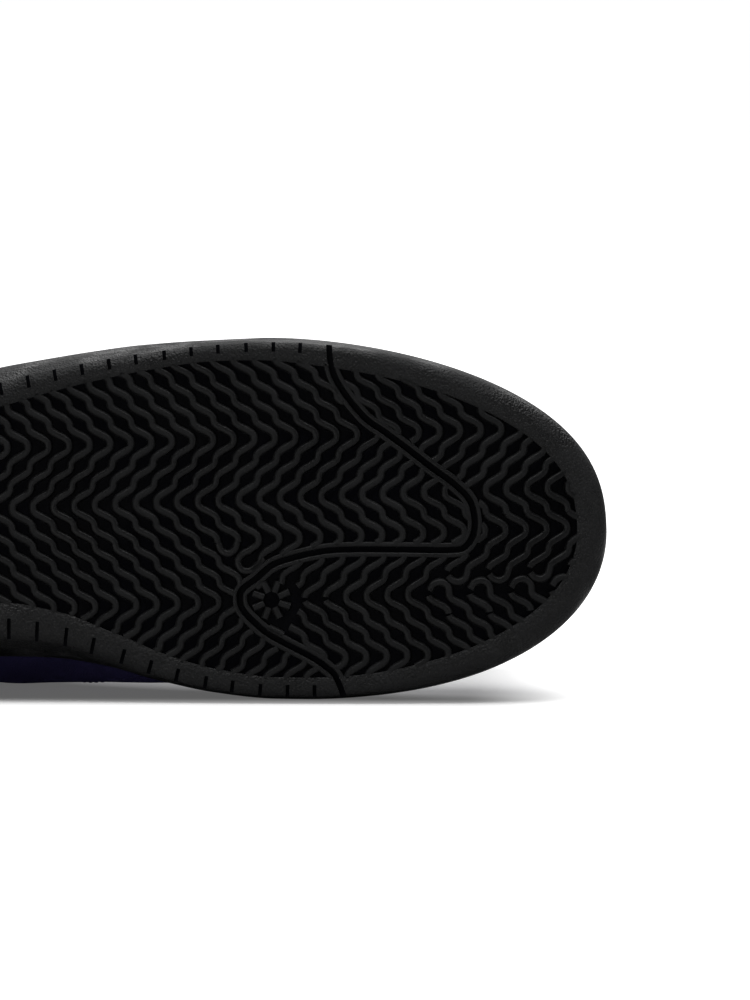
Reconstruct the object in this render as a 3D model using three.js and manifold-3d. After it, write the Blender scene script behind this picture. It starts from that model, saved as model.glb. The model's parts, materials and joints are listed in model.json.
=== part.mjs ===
// A low skateboarding shoe for the right foot: rubber cup sole, suede upper, padded tongue, flat laces.
// Lengths are in millimetres. The shoe is drawn standing, with x from the back of the heel to the tip
// of the toe, +y on the medial side and z up from the tread, and is then laid on its medial side.
import * as THREE from "three";
import { ConvexHull } from "three/addons/math/ConvexHull.js";
import { mergeVertices } from "three/addons/utils/BufferGeometryUtils.js";
import Module from "manifold-3d";

const wasm = await Module();
wasm.setup();

// Sole
const soleLength = 299;
const medialReach = 48.8; // widest, from the shoe's long axis
const lateralReach = 60.6;
const sideTuck = 6.4; // how far the tread's edge lies inside the sidewall at the waist
const outsoleThickness = 6;
const treadEdgeRound = 2;
const toeEdgeRound = 4;
const toeSpring = 9;
const bulgeHeight = 16; // where the sidewall is widest
const cupWall = 5;
const cupEdgeRound = 1.4;
const heelRim = 30; // heights of the cup's rim above the tread
const waistRim = 26;
const ballRim = 23.5;
const toeRim = 25;
const heelBed = 18; // heights of the footbed above the tread
const ballBed = 12;
const grooveWidth = 1.6;
const grooveDepth = 2;
const insoleThickness = 4;

// Upper
const upperWall = 2.5;
const heelHeight = 85;
const ankleHeight = 70;
const throatHeight = 103;
const vampHeight = 64;
const toeHeight = 54;
const collarHalfWidth = 32;
const throatHalfWidth = 22; // at its top
const tongueThickness = 7;
const tongueOvershoot = 22; // how far the tongue stands out beyond the throat
const tongueOverlap = 13; // how far it reaches in under each side of the throat
const eyeletPairs = 6;
const eyeletRadius = 2.4;
const eyeletSetback = 8.5; // from the throat's edge
const laceWidth = 7.5;
const laceThickness = 1.5;

const gap = 0.3; // between flat or equally curved pieces that touch
const looseGap = 0.8; // over the tongue, where the facets of two pieces differ
const laceGap = 1.1; // under the laces, which lie across the wall's curve
const rows = 44; // sections from heel to toe
const wallSteps = 9; // steps up the upper's wall above the cup
const sampleSteps = 40; // samples along one curve of the wall
const nudge = 1e-3; // step of the numeric slopes
const medial = 1;
const lateral = -1;
const up = new THREE.Vector3(0, 0, 1);

// Turns rows of numbers into rows with named columns.
function table(columns, values) {
  return values.map((row) => Object.fromEntries(columns.map((column, i) => [column, row[i]])));
}

// Places along the shoe are stations: 0 at the back of the heel, 1 at the tip of the toe.
// The sidewall's widest outline on both sides as shares of the two reaches, and how far the tread's
// edge is tucked in below it as shares of sideTuck.
const outline = table(["at", "medial", "lateral", "medialTuck", "lateralTuck"], [
  [0, 0.84, 0.685, 0.23, 0.23],
  [0.13, 0.84, 0.685, 0.23, 0.23],
  [0.2, 0.79, 0.71, 0.47, 0.47],
  [0.27, 0.707, 0.762, 0.78, 0.72],
  [0.34, 0.656, 0.838, 1, 0.87],
  [0.39, 0.662, 0.898, 1, 0.87],
  [0.44, 0.682, 0.934, 0.81, 0.72],
  [0.49, 0.742, 0.965, 0.41, 0.62],
  [0.54, 0.84, 0.988, 0.23, 0.52],
  [0.6, 0.934, 0.998, 0.16, 0.34],
  [0.66, 0.986, 1, 0.16, 0.27],
  [0.72, 1, 1, 0.16, 0.27],
  [1, 1, 1, 0.16, 0.16],
]);

// The outline closes along superellipses, each from its station to the end and with its two powers.
const heelClosing = { from: 0.13, end: 0, along: 2.2, across: 2.2 };
const toeClosing = {
  medial: { from: 0.7, end: 1, along: 2.4, across: 2.1 },
  lateral: { from: 0.66, end: 1, along: 1.65, across: 2.4 },
};

// Heights above the tread, the tread's own rise, and the rounding of its edge.
const heights = table(["at", "rim", "bed", "rise", "edge"], [
  [0, heelRim, heelBed, 0, treadEdgeRound],
  [0.18, heelRim, heelBed, 0, treadEdgeRound],
  [0.45, waistRim, (heelBed + ballBed) / 2, 0, treadEdgeRound],
  [0.68, ballRim, ballBed, 0, treadEdgeRound],
  [0.74, ballRim, ballBed, 0, treadEdgeRound],
  [0.82, ballRim, ballBed, 0.1 * toeSpring, (treadEdgeRound + toeEdgeRound) / 2],
  [0.91, toeRim, ballBed, 0.42 * toeSpring, toeEdgeRound],
  [1, toeRim, ballBed, toeSpring, toeEdgeRound],
]);

// Sections of the upper: the stations of a section's foot and top, the distances of its top edge from
// the axis, the edge's height, and in degrees the surface's fall outwards from the edge and the
// wall's lean outwards above the cup. full is the fullness of the curve between them.
const sections = table([
  "foot", "top", "medial", "lateral", "height", "fall", "medialLean", "lateralLean", "full",
], [
  [0, 0.034, 0, 0, heelHeight, 78, 12, 12, 0.4],
  [0.03, 0.046, 0.38 * collarHalfWidth, 0.38 * collarHalfWidth, 0.995 * heelHeight, 78, 12, 12, 0.4],
  [0.07, 0.085, 0.7 * collarHalfWidth, 0.72 * collarHalfWidth, 0.95 * heelHeight, 78, 10, 10, 0.4],
  [0.13, 0.14, 0.9 * collarHalfWidth, 0.92 * collarHalfWidth, 1.06 * ankleHeight, 78, 8, 8, 0.4],
  [0.2, 0.205, 0.98 * collarHalfWidth, collarHalfWidth, ankleHeight, 78, 18, 6, 0.42],
  [0.27, 0.27, 0.98 * collarHalfWidth, collarHalfWidth, 1.01 * ankleHeight, 72, 32, 4, 0.44],
  [0.33, 0.325, 0.95 * collarHalfWidth, 0.96 * collarHalfWidth, 0.77 * throatHeight, 62, 38, 0, 0.45],
  [0.39, 0.372, 1.22 * throatHalfWidth, 1.22 * throatHalfWidth, 0.895 * throatHeight, 50, 37, 0, 0.45],
  [0.44, 0.413, throatHalfWidth, throatHalfWidth, throatHeight, 43, 33, 0, 0.44],
  [0.5, 0.475, 0.8 * throatHalfWidth, 0.8 * throatHalfWidth, 0.865 * throatHeight, 35, 40, 2, 0.45],
  [0.56, 0.54, 0.66 * throatHalfWidth, 0.66 * throatHalfWidth, 1.225 * vampHeight, 29, 31, 2, 0.44],
  [0.62, 0.605, 0.52 * throatHalfWidth, 0.52 * throatHalfWidth, 1.11 * vampHeight, 23, 12, 2, 0.43],
  [0.66, 0.652, 0.39 * throatHalfWidth, 0.39 * throatHalfWidth, 1.04 * vampHeight, 18, 2, 0, 0.42],
  [0.68, 0.674, 0.24 * throatHalfWidth, 0.24 * throatHalfWidth, 1.01 * vampHeight, 13, 2, 0, 0.42],
  [0.695, 0.684, 0, 0, vampHeight, 9, 2, 0, 0.42],
  [0.74, 0.725, 0, 0, 1.12 * toeHeight, 6, 2, 0, 0.42],
  [0.8, 0.775, 0, 0, 1.06 * toeHeight, 4, 2, 0, 0.42],
  [0.88, 0.83, 0, 0, 1.01 * toeHeight, 5, 0, 0, 0.42],
  [0.95, 0.868, 0, 0, 0.975 * toeHeight, 9, -10, -10, 0.38],
  [1, 0.895, 0, 0, 0.94 * toeHeight, 13, -20, -20, 0.36],
]);
const throatTop = 0.44; // foot stations from here on
const tongueFoot = 0.75; // where the tongue is sewn in under the vamp
const firstEyelet = 0.645;
const lastEyelet = 0.455;

// The long flex groove across the forefoot, as stations and shares of the reach on the side it is on.
const flexGroove = [
  [0.725, -1.08], [0.7285, -0.854], [0.7367, -0.739], [0.7596, -0.586], [0.803, -0.414], [0.847, -0.237],
  [0.8617, -0.16], [0.8662, -0.06], [0.864, 0.03], [0.856, 0.088], [0.84, 0.108], [0.794, 0.098],
  [0.747, 0.085], [0.716, 0.088], [0.686, 0.117], [0.6626, 0.161], [0.645, 0.243], [0.631, 0.308],
  [0.628, 0.374], [0.632, 0.439], [0.657, 0.59], [0.698, 0.738], [0.7118, 0.8], [0.7224, 0.876],
  [0.733, 1.09],
];
const grooveSteps = 84;

// Reads a column of a table at a place, along a curve through its rows that never overshoots them.
function read(rowsOfTable, key, column, at) {
  const x = rowsOfTable.map((row) => row[key]);
  const y = rowsOfTable.map((row) => row[column]);
  const last = x.length - 1;
  if (at <= x[0]) return y[0];
  if (at >= x[last]) return y[last];
  const slope = (i) => (y[i + 1] - y[i]) / (x[i + 1] - x[i]);
  const tangent = (i) => {
    if (i === 0) return slope(0);
    if (i === last) return slope(last - 1);
    const product = slope(i - 1) * slope(i);
    return product <= 0 ? 0 : (2 * product) / (slope(i - 1) + slope(i));
  };
  const i = x.findIndex((value) => value > at) - 1;
  const span = x[i + 1] - x[i];
  const t = (at - x[i]) / span;
  const rest = 1 - t;
  const start = (1 + 2 * t) * rest * rest * y[i] + t * rest * rest * span * tangent(i);
  return start + t * t * (3 - 2 * t) * y[i + 1] - t * t * rest * span * tangent(i + 1);
}

// A closed surface put together from rings of points. Points that coincide are one vertex, and
// triangles that shrink to a line are left out.
class Surface {
  constructor() {
    this.points = [];
    this.triangles = [];
    this.known = new Map();
  }

  vertex(point) {
    const name = point.toArray().map((value) => Math.round(value / nudge)).join();
    if (!this.known.has(name)) {
      this.known.set(name, this.points.length);
      this.points.push(point);
    }
    return this.known.get(name);
  }

  triangle(a, b, c) {
    const corners = [a, b, c].map((point) => this.vertex(point));
    if (new Set(corners).size === 3) this.triangles.push(corners);
  }

  quad(a, b, c, d) {
    this.triangle(a, b, c);
    this.triangle(a, c, d);
  }

  // Joins two rings of equally many points. keep says which steps along them are filled.
  band(from, to, closed = true, keep = () => true) {
    const count = closed ? from.length : from.length - 1;
    for (let i = 0; i < count; i += 1) {
      const next = (i + 1) % from.length;
      if (keep(i)) this.quad(from[i], from[next], to[next], to[i]);
    }
  }

  // Closes a ring by joining each point to the one that lies opposite it.
  cap(ring) {
    for (let i = 0; i < ring.length / 2 - 1; i += 1) {
      const opposite = ring.length - 1 - i;
      this.quad(ring[i], ring[i + 1], ring[opposite - 1], ring[opposite]);
    }
  }

  geometry() {
    const geometry = new THREE.BufferGeometry();
    const positions = this.points.flatMap((point) => point.toArray());
    geometry.setAttribute("position", new THREE.Float32BufferAttribute(positions, 3));
    const outwards = volumeOf(this.points, this.triangles) > 0;
    geometry.setIndex(this.triangles.flatMap(([a, b, c]) => (outwards ? [a, b, c] : [a, c, b])));
    geometry.computeVertexNormals();
    return geometry;
  }
}

function volumeOf(points, triangles) {
  const cross = new THREE.Vector3();
  return triangles.reduce((sum, [a, b, c]) => {
    return sum + cross.crossVectors(points[b], points[c]).dot(points[a]) / 6;
  }, 0);
}

// A solid swept through rings of points, closed at both ends.
function sweep(rings) {
  const surface = new Surface();
  rings.slice(1).forEach((ring, i) => surface.band(rings[i], ring));
  surface.cap([...rings[0]].reverse());
  surface.cap(rings[rings.length - 1]);
  return surface.geometry();
}

function toManifold(geometry) {
  const bare = new THREE.BufferGeometry();
  bare.setAttribute("position", geometry.attributes.position);
  bare.setIndex(geometry.index);
  const merged = mergeVertices(bare);
  return new wasm.Manifold(new wasm.Mesh({
    numProp: 3,
    vertProperties: merged.attributes.position.array,
    triVerts: new Uint32Array(merged.index.array),
  }));
}

function fromManifold(manifold) {
  const mesh = manifold.getMesh();
  const geometry = new THREE.BufferGeometry();
  geometry.setAttribute("position", new THREE.BufferAttribute(mesh.vertProperties, 3));
  geometry.setIndex(new THREE.BufferAttribute(mesh.triVerts, 1));
  geometry.computeVertexNormals();
  return geometry;
}

// The sections crowd towards both ends, where the outline turns. place runs evenly from 0 to 1.
const stationOf = (place) => (1 - Math.cos(Math.PI * place)) / 2;
const placeOf = (station) => Math.acos(1 - 2 * station) / Math.PI;
const nameOf = (side) => (side === medial ? "medial" : "lateral");

function closing(station, { from, end, along, across }) {
  const share = (station - from) / (end - from);
  return share <= 0 ? 1 : Math.max(0, 1 - share ** along) ** (1 / across);
}

// A point of the sidewall's widest outline. Beyond either end it goes on down the other side.
function outlinePoint(place, side) {
  const beyond = place < 0 || place > 1;
  const onSide = beyond ? -side : side;
  const station = stationOf(place);
  const reach = onSide === medial ? medialReach : lateralReach;
  const share = read(outline, "at", nameOf(onSide), station);
  const closed = closing(station, heelClosing) * closing(station, toeClosing[nameOf(onSide)]);
  return new THREE.Vector3(station * soleLength, onSide * reach * share * closed, 0);
}

function outwards(place, side) {
  const along = outlinePoint(place + nudge, side).sub(outlinePoint(place - nudge, side));
  return new THREE.Vector3(-side * along.y, side * along.x, 0).normalize();
}

// A point of the outline moved inwards by inset, at a height above the local tread.
function solePoint(place, side, inset, height) {
  const point = outlinePoint(place, side).addScaledVector(outwards(place, side), -inset);
  point.z = height + heightAt("rise", point.x / soleLength);
  return point;
}

const heightAt = (column, station) => read(heights, "at", column, station);

// A whole ring: up the medial side from heel to toe, then back down the lateral side.
function soleRing(inset, height) {
  const places = Array.from({ length: rows + 1 }, (_, i) => i / rows);
  const points = (side) => places.map((place) => {
    const station = stationOf(place);
    return solePoint(place, side, inset(station, side), height(station, side));
  });
  return [...points(medial), ...points(lateral).reverse()];
}

// The sidewall draws in below its widest height, down to the tread's edge.
function sidewallInset(station, side, height) {
  const tuck = sideTuck * read(outline, "at", `${nameOf(side)}Tuck`, station);
  return tuck * Math.max(0, 1 - height / bulgeHeight) ** 2;
}

function sideRing(height) {
  return soleRing((station, side) => sidewallInset(station, side, height), () => height);
}

function outsole() {
  const cut = (station) => heightAt("edge", station);
  const ring = (share, shareUp) => soleRing(
    (station, side) => sidewallInset(station, side, shareUp * cut(station)) + share * cut(station),
    (station) => shareUp * cut(station),
  );
  const quarter = 1 - Math.SQRT1_2;
  const slab = sweep([ring(1, 0), ring(quarter, quarter), ring(0, 1), sideRing(outsoleThickness)]);
  return fromManifold(toManifold(slab).subtract(toManifold(flexGrooveCutter())));
}

function flexGrooveCutter() {
  const points = flexGroove.map(([station, share]) => {
    const reach = share > 0 ? medialReach : lateralReach;
    return new THREE.Vector3(station * soleLength, share * reach, 0);
  });
  const curve = new THREE.CatmullRomCurve3(points);
  const rings = Array.from({ length: grooveSteps + 1 }, (_, i) => {
    const centre = curve.getPointAt(i / grooveSteps);
    const along = curve.getTangentAt(i / grooveSteps);
    const across = new THREE.Vector3(-along.y, along.x, 0).setLength(grooveWidth / 2);
    const floor = heightAt("rise", centre.x / soleLength) + grooveDepth;
    const left = centre.clone().add(across);
    const right = centre.clone().sub(across);
    const below = -grooveDepth;
    return [
      left.clone().setZ(below), left.clone().setZ(floor),
      right.clone().setZ(floor), right.clone().setZ(below),
    ];
  });
  return sweep(rings);
}

function midsole() {
  const rim = (station) => heightAt("rim", station);
  const bed = (station) => heightAt("bed", station);
  return sweep([
    sideRing(outsoleThickness + gap),
    sideRing((outsoleThickness + bulgeHeight) / 2),
    sideRing(bulgeHeight),
    soleRing(() => gap, (station) => rim(station) - 2 * cupEdgeRound),
    soleRing(() => gap + 0.3 * cupEdgeRound, (station) => rim(station) - 0.7 * cupEdgeRound),
    soleRing(() => gap + cupEdgeRound, rim),
    soleRing(() => cupWall - cupEdgeRound / 2, rim),
    soleRing(() => cupWall, (station) => rim(station) - cupEdgeRound / 2),
    soleRing(() => cupWall, bed),
  ]);
}

function insole() {
  const inset = cupWall + gap + upperWall + gap;
  const edge = insoleThickness / 4;
  const bed = (station) => heightAt("bed", station) + gap;
  return sweep([
    soleRing(() => inset, bed),
    soleRing(() => inset, (station) => bed(station) + insoleThickness - edge),
    soleRing(() => inset + edge, (station) => bed(station) + insoleThickness),
  ]);
}

// One section of the upper on one side: its foot in the cup and the curve from the cup to the edge.
const knownSections = new Map();

function section(place, side) {
  const name = `${place},${side}`;
  if (!knownSections.has(name)) knownSections.set(name, makeSection(place, side));
  return knownSections.get(name);
}

function makeSection(place, side) {
  const foot = stationOf(place);
  const at = (column) => read(sections, "foot", column, foot);
  const out = outwards(place, side);
  const hem = solePoint(place, side, cupWall + gap, heightAt("bed", foot) + gap);
  const rise = heightAt("rim", foot) + 2 * gap - heightAt("bed", foot) - gap;
  const bend = hem.clone().addScaledVector(up, rise);
  const edge = new THREE.Vector3(at("top") * soleLength, side * at(nameOf(side)), at("height"));
  const reach = at("full") * edge.distanceTo(bend);
  const lean = THREE.MathUtils.degToRad(at(`${nameOf(side)}Lean`));
  const fall = THREE.MathUtils.degToRad(at("fall"));
  const curve = new THREE.CubicBezierCurve3(
    bend,
    bend.clone().addScaledVector(out, reach * Math.sin(lean)).addScaledVector(up, reach * Math.cos(lean)),
    edge.clone().addScaledVector(out, reach * Math.cos(fall)).addScaledVector(up, -reach * Math.sin(fall)),
    edge,
  );
  const samples = curve.getPoints(sampleSteps).reverse();
  return { hem, bend, edge, fall, curve, samples };
}

// A point on the wall at a distance from the section's top edge.
function wallPoint(place, side, distance) {
  const { samples } = section(place, side);
  let left = distance;
  for (let i = 1; i < samples.length; i += 1) {
    const step = samples[i].distanceTo(samples[i - 1]);
    if (left <= step) return samples[i - 1].clone().lerp(samples[i], left / step);
    left -= step;
  }
  return samples[samples.length - 1].clone();
}

// A point over the instep at a signed distance from the middle: on the wall, or on the crown that
// spans the throat between its edges.
function instepPoint(place, distance) {
  const side = distance < 0 ? lateral : medial;
  const { edge, fall } = section(place, side);
  const half = Math.abs(edge.y);
  const away = Math.abs(distance);
  if (away >= half) return wallPoint(place, side, away - half);
  const crown = (half * Math.tan(fall)) / 2;
  return new THREE.Vector3(edge.x, distance, edge.z + crown * (1 - (away / half) ** 2));
}

function instepNormal(place, distance) {
  const along = instepPoint(place + nudge, distance).sub(instepPoint(place - nudge, distance));
  const across = instepPoint(place, distance + 1).sub(instepPoint(place, distance - 1));
  return along.cross(across).normalize();
}

function lift(place, distance, height) {
  return instepPoint(place, distance).addScaledVector(instepNormal(place, distance), height);
}

const throatHalf = (place) => section(place, medial).edge.y;

// The wall's outer face, its inner face at the wall's thickness, and the strips that join them.
function upperShell() {
  const ring = (point) => {
    const points = (side) => Array.from({ length: rows + 1 }, (_, i) => point(section(i / rows, side)));
    return [...points(medial), ...points(lateral).reverse()];
  };
  const outer = [ring(({ hem }) => hem)];
  for (let step = 0; step <= wallSteps; step += 1) {
    outer.push(ring(({ curve }) => curve.getPoint(step / wallSteps)));
  }
  const skin = new Surface();
  outer.slice(1).forEach((points, i) => skin.band(outer[i], points, false));
  const normals = normalsOf(skin);
  const inner = outer.map((points) => points.map((point) => {
    return point.clone().addScaledVector(normals[skin.vertex(point)], -upperWall);
  }));
  inner[0].forEach((point, i) => point.setZ(outer[0][i].z));

  const shell = new Surface();
  outer.slice(1).forEach((points, i) => shell.band(outer[i], points, false));
  inner.slice(1).forEach((points, i) => shell.band(points, inner[i], false));
  shell.band(inner[0], outer[0], false);
  const top = outer.length - 1;
  const open = (i) => !outer[top][i].equals(outer[top][outer[top].length - 1 - i])
    || !outer[top][i + 1].equals(outer[top][outer[top].length - 2 - i]);
  const isCollarEnd = (i) => i === 0 || i === outer[top].length - 2;
  shell.band(outer[top], inner[top], false, (i) => open(i) || isCollarEnd(i));
  return shell.geometry();
}

function vectorsOf(attribute) {
  return Array.from({ length: attribute.count }, (_, i) => new THREE.Vector3().fromBufferAttribute(attribute, i));
}

// Outward normals at a surface's vertices.
function normalsOf(surface) {
  const geometry = new THREE.BufferGeometry();
  const positions = surface.points.flatMap((point) => point.toArray());
  geometry.setAttribute("position", new THREE.Float32BufferAttribute(positions, 3));
  geometry.setIndex(surface.triangles.flat());
  geometry.computeVertexNormals();
  const normals = vectorsOf(geometry.attributes.normal);
  const middle = surface.points.reduce((sum, point) => sum.add(point), new THREE.Vector3());
  middle.divideScalar(surface.points.length);
  const votes = surface.points.reduce((sum, point, i) => {
    return sum + Math.sign(normals[i].dot(point.clone().sub(middle)));
  }, 0);
  return votes < 0 ? normals.map((normal) => normal.negate()) : normals;
}

function eyeletPlaces() {
  const first = placeOf(firstEyelet);
  const last = placeOf(lastEyelet);
  return Array.from({ length: eyeletPairs }, (_, i) => first + ((last - first) * i) / (eyeletPairs - 1));
}

function upper() {
  let shell = toManifold(upperShell());
  eyeletPlaces().forEach((place) => [medial, lateral].forEach((side) => {
    const distance = side * (throatHalf(place) + eyeletSetback);
    const normal = instepNormal(place, distance);
    const punch = new THREE.CylinderGeometry(eyeletRadius, eyeletRadius, 4 * upperWall, 12);
    punch.applyQuaternion(new THREE.Quaternion().setFromUnitVectors(new THREE.Vector3(0, 1, 0), normal));
    punch.translate(...instepPoint(place, distance).addScaledVector(normal, -upperWall / 2).toArray());
    shell = shell.subtract(toManifold(punch));
  }));
  return fromManifold(shell);
}

// The tongue lies under the throat's edges, swells up between them and stands out beyond the throat.
function tongue() {
  const columns = 14;
  const throatRows = 11;
  const freeRows = 4;
  const start = placeOf(tongueFoot);
  const end = placeOf(throatTop);
  const ringAt = (place, share) => {
    const overlap = tongueOverlap * Math.min(1, 3.2 * share - 0.12);
    const half = throatHalf(place) + overlap;
    const thickness = tongueThickness * Math.min(1, 0.45 + (1 - share));
    const swell = upperWall * Math.min(1, throatHalf(place) / tongueThickness);
    const depth = (distance) => {
      const inThroat = Math.min(1, Math.abs(distance) / (throatHalf(place) + nudge));
      return looseGap + upperWall - swell * (1 - inThroat ** 2);
    };
    const shares = Array.from({ length: columns + 1 }, (_, i) => (2 * i) / columns - 1);
    const top = shares.map((across) => lift(place, across * half, -depth(across * half)));
    const bottom = shares.map((across) => {
      const body = thickness * (1 - 0.6 * across ** 2);
      return lift(place, across * half, -depth(across * half) - body);
    });
    return [...top, ...bottom.reverse()];
  };
  const rings = Array.from({ length: throatRows + 1 }, (_, i) => {
    const share = 1 - i / throatRows;
    return ringAt(end + (start - end) * share, share);
  });
  const along = instepPoint(end, 0).sub(instepPoint(end + 0.02, 0)).normalize();
  for (let i = 1; i <= freeRows; i += 1) {
    const share = i / freeRows;
    const move = along.clone().multiplyScalar(tongueOvershoot * share);
    const middle = rings[throatRows].reduce((sum, point) => sum.add(point), new THREE.Vector3());
    middle.divideScalar(rings[throatRows].length);
    const flare = 1 + 0.5 * share - 0.42 * share ** 4;
    rings.push(rings[throatRows].map((point) => {
      return point.clone().sub(middle).multiply(new THREE.Vector3(1, flare, 1)).add(middle).add(move);
    }));
  }
  return sweep(rings);
}

// One run of lace over the instep, from an eyelet to one on the other side.
function laceRun(fromPlace, toPlace, side) {
  const steps = 8;
  const ends = [fromPlace, toPlace].map((place) => throatHalf(place) + eyeletSetback);
  const middle = Array.from({ length: steps + 1 }, (_, i) => {
    const share = i / steps;
    const place = fromPlace + (toPlace - fromPlace) * share;
    const distance = side * (ends[0] * (1 - share) - ends[1] * share);
    const point = lift(place, distance, laceGap + laceThickness / 2);
    return { point, normal: instepNormal(place, distance) };
  });
  const rings = middle.map(({ point, normal }, i) => {
    const before = middle[Math.max(0, i - 1)].point;
    const after = middle[Math.min(steps, i + 1)].point;
    const across = after.clone().sub(before).cross(normal).setLength(laceWidth / 2);
    const thick = normal.clone().setLength(laceThickness / 2);
    return [
      point.clone().add(across).add(thick), point.clone().sub(across).add(thick),
      point.clone().sub(across).sub(thick), point.clone().add(across).sub(thick),
    ];
  });
  return toManifold(sweep(rings));
}

function laces() {
  const places = eyeletPlaces();
  let lattice = laceRun(places[0], places[0], medial);
  places.slice(1).forEach((place, i) => [medial, lateral].forEach((side) => {
    lattice = lattice.add(laceRun(places[i], place, side));
  }));
  return fromManifold(lattice);
}

// The turn and shift that lay the shoe on its medial side: the face of its convex hull under the
// centre of mass goes onto the floor, the toe points to +x and the tread faces -y.
function layDown(meshes) {
  const points = meshes.flatMap(({ geometry }) => vectorsOf(geometry.attributes.position));
  const centre = centreOfMass(meshes);
  const faces = new ConvexHull().setFromPoints(points).faces;
  const { normal } = faces.filter((face) => face.normal.y > 0.5).find((face) => isOver(face, centre));
  const z = normal.clone().negate();
  const x = new THREE.Vector3(1, 0, 0).projectOnPlane(z).normalize();
  const y = z.clone().cross(x);
  const turn = new THREE.Matrix4().makeBasis(x, y, z).transpose();
  const box = new THREE.Box3().setFromPoints(points.map((point) => point.clone().applyMatrix4(turn)));
  const middle = box.getCenter(new THREE.Vector3());
  return turn.premultiply(new THREE.Matrix4().makeTranslation(-middle.x, -middle.y, -box.min.z));
}

function centreOfMass(meshes) {
  const sum = new THREE.Vector3();
  let total = 0;
  meshes.forEach(({ geometry: { attributes: { position }, index } }) => {
    const corner = (i) => new THREE.Vector3().fromBufferAttribute(position, index.getX(i));
    for (let i = 0; i < index.count; i += 3) {
      const [a, b, c] = [corner(i), corner(i + 1), corner(i + 2)];
      const volume = b.clone().cross(c).dot(a) / 6;
      total += volume;
      sum.addScaledVector(a.add(b).add(c), volume / 4);
    }
  });
  return sum.divideScalar(total);
}

// Whether a point seen along the face's normal lies inside the face.
function isOver(face, point) {
  const { edge: first, normal } = face;
  let edge = first;
  do {
    const start = edge.tail().point;
    const side = edge.head().point.clone().sub(start).cross(point.clone().sub(start));
    if (side.dot(normal) < 0) return false;
    edge = edge.next;
  } while (edge !== first);
  return true;
}

function mesh(name, geometry, color, roughness) {
  const piece = new THREE.Mesh(geometry, new THREE.MeshStandardMaterial({ color, roughness, metalness: 0 }));
  piece.name = name;
  return piece;
}

const pieces = [
  mesh("outsole", outsole(), 0x191a1b, 0.6),
  mesh("midsole", midsole(), 0x1d1d1f, 0.55),
  mesh("insole", insole(), 0x1b1b22, 0.9),
  mesh("upper", upper(), 0x15142a, 0.95),
  mesh("tongue", tongue(), 0x14141c, 0.95),
  mesh("laces", laces(), 0x0e0e10, 0.85),
];

const shoe = new THREE.Group();
shoe.add(...pieces);
layDown(pieces).decompose(shoe.position, shoe.quaternion, shoe.scale);

export default shoe;
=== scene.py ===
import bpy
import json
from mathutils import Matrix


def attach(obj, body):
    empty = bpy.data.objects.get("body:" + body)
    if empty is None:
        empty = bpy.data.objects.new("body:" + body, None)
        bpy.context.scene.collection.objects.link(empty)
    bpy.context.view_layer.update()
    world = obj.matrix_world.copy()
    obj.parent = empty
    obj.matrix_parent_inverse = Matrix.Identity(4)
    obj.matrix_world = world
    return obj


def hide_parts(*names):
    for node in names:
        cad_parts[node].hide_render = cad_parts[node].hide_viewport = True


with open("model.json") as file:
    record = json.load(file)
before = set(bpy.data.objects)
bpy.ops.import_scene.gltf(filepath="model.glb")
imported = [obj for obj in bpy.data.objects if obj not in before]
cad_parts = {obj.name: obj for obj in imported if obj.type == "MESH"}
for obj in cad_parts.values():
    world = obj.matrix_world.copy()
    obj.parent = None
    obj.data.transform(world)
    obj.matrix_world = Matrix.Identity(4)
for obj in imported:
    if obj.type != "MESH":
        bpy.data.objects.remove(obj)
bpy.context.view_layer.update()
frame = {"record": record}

import json
import math

import bpy
import numpy as np
from mathutils import Matrix, Vector

# A right skateboarding shoe lying on its medial side, seen from below.
# Shapes are worked out in the shoe's own frame, in millimetres: x from heel to toe, +y medial, z up
# from the tread. settle() then lays each finished mesh where the frame's nodes lie, in metres.
medial, lateral = 1, -1

shoeLook = {
    "heelSpot": (34, 0),         # the two flat spots of the tread that the record's mounts name
    "forefootSpot": (173, -8),
    "photoPlace": (229.5, -10.5, 0),  # the tread point in the middle of the picture
    "photoTurn": 2.2,            # degrees that the toe points up in the picture
    "cameraAway": 4500,
    "picturePixels": 1000,       # the picture's long side
    "pixelSize": 0.3,            # millimetres of tread
}


def unit(vectors):
    vectors = np.asarray(vectors, float)
    return vectors / np.maximum(np.linalg.norm(vectors, axis=-1, keepdims=True), 1e-12)


def shoeFrame():
    mounts = {mount["name"]: mount for mount in frame["record"]["mounts"]}
    heel, forefoot = (np.array(mounts[name]["pos_m"]) for name in ("heel_tread", "forefoot_tread"))
    zAxis = -unit(mounts["heel_tread"]["axis"])
    between = forefoot - heel
    between = unit(between - zAxis * (between @ zAxis))
    run = np.subtract(shoeLook["forefootSpot"], shoeLook["heelSpot"])
    turn = math.atan2(-run[1], run[0])
    xAxis = between * math.cos(turn) + np.cross(zAxis, between) * math.sin(turn)
    yAxis = np.cross(zAxis, xAxis)
    axes = np.column_stack([xAxis, yAxis, zAxis])
    start = heel - axes @ np.array([*shoeLook["heelSpot"], 0]) / 1000
    return axes, start


shoeAxes, shoeStart = shoeFrame()
shoeToRow = Matrix.Translation(shoeStart) @ Matrix(shoeAxes.tolist()).to_4x4() @ Matrix.Scale(0.001, 4)


# The shoe's driving sizes, as in the frame's solids
soleLength = 299
medialReach, lateralReach = 48.8, 60.6
sideTuck = 6.4
outsoleThickness = 6
bulgeHeight = 16
cupWall = 5
cupEdgeRound = 1.4
toeSpring = 9
upperWall = 2.5
gap = 0.3
collarHalf, throatHalfTop = 32, 22
heelHeight, ankleHeight, throatHeight, vampHeight, toeHeight = 85, 70, 103, 64, 54
throatTop, tongueFoot, firstEyelet, lastEyelet, eyeletPairs = 0.44, 0.75, 0.645, 0.455, 6
eyeletSetback, eyeletRadius = 8.5, 2.4
nudge = 1e-3


def table(columns, rows):
    return dict(zip(columns.split(), np.array(rows, float).T))


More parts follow.
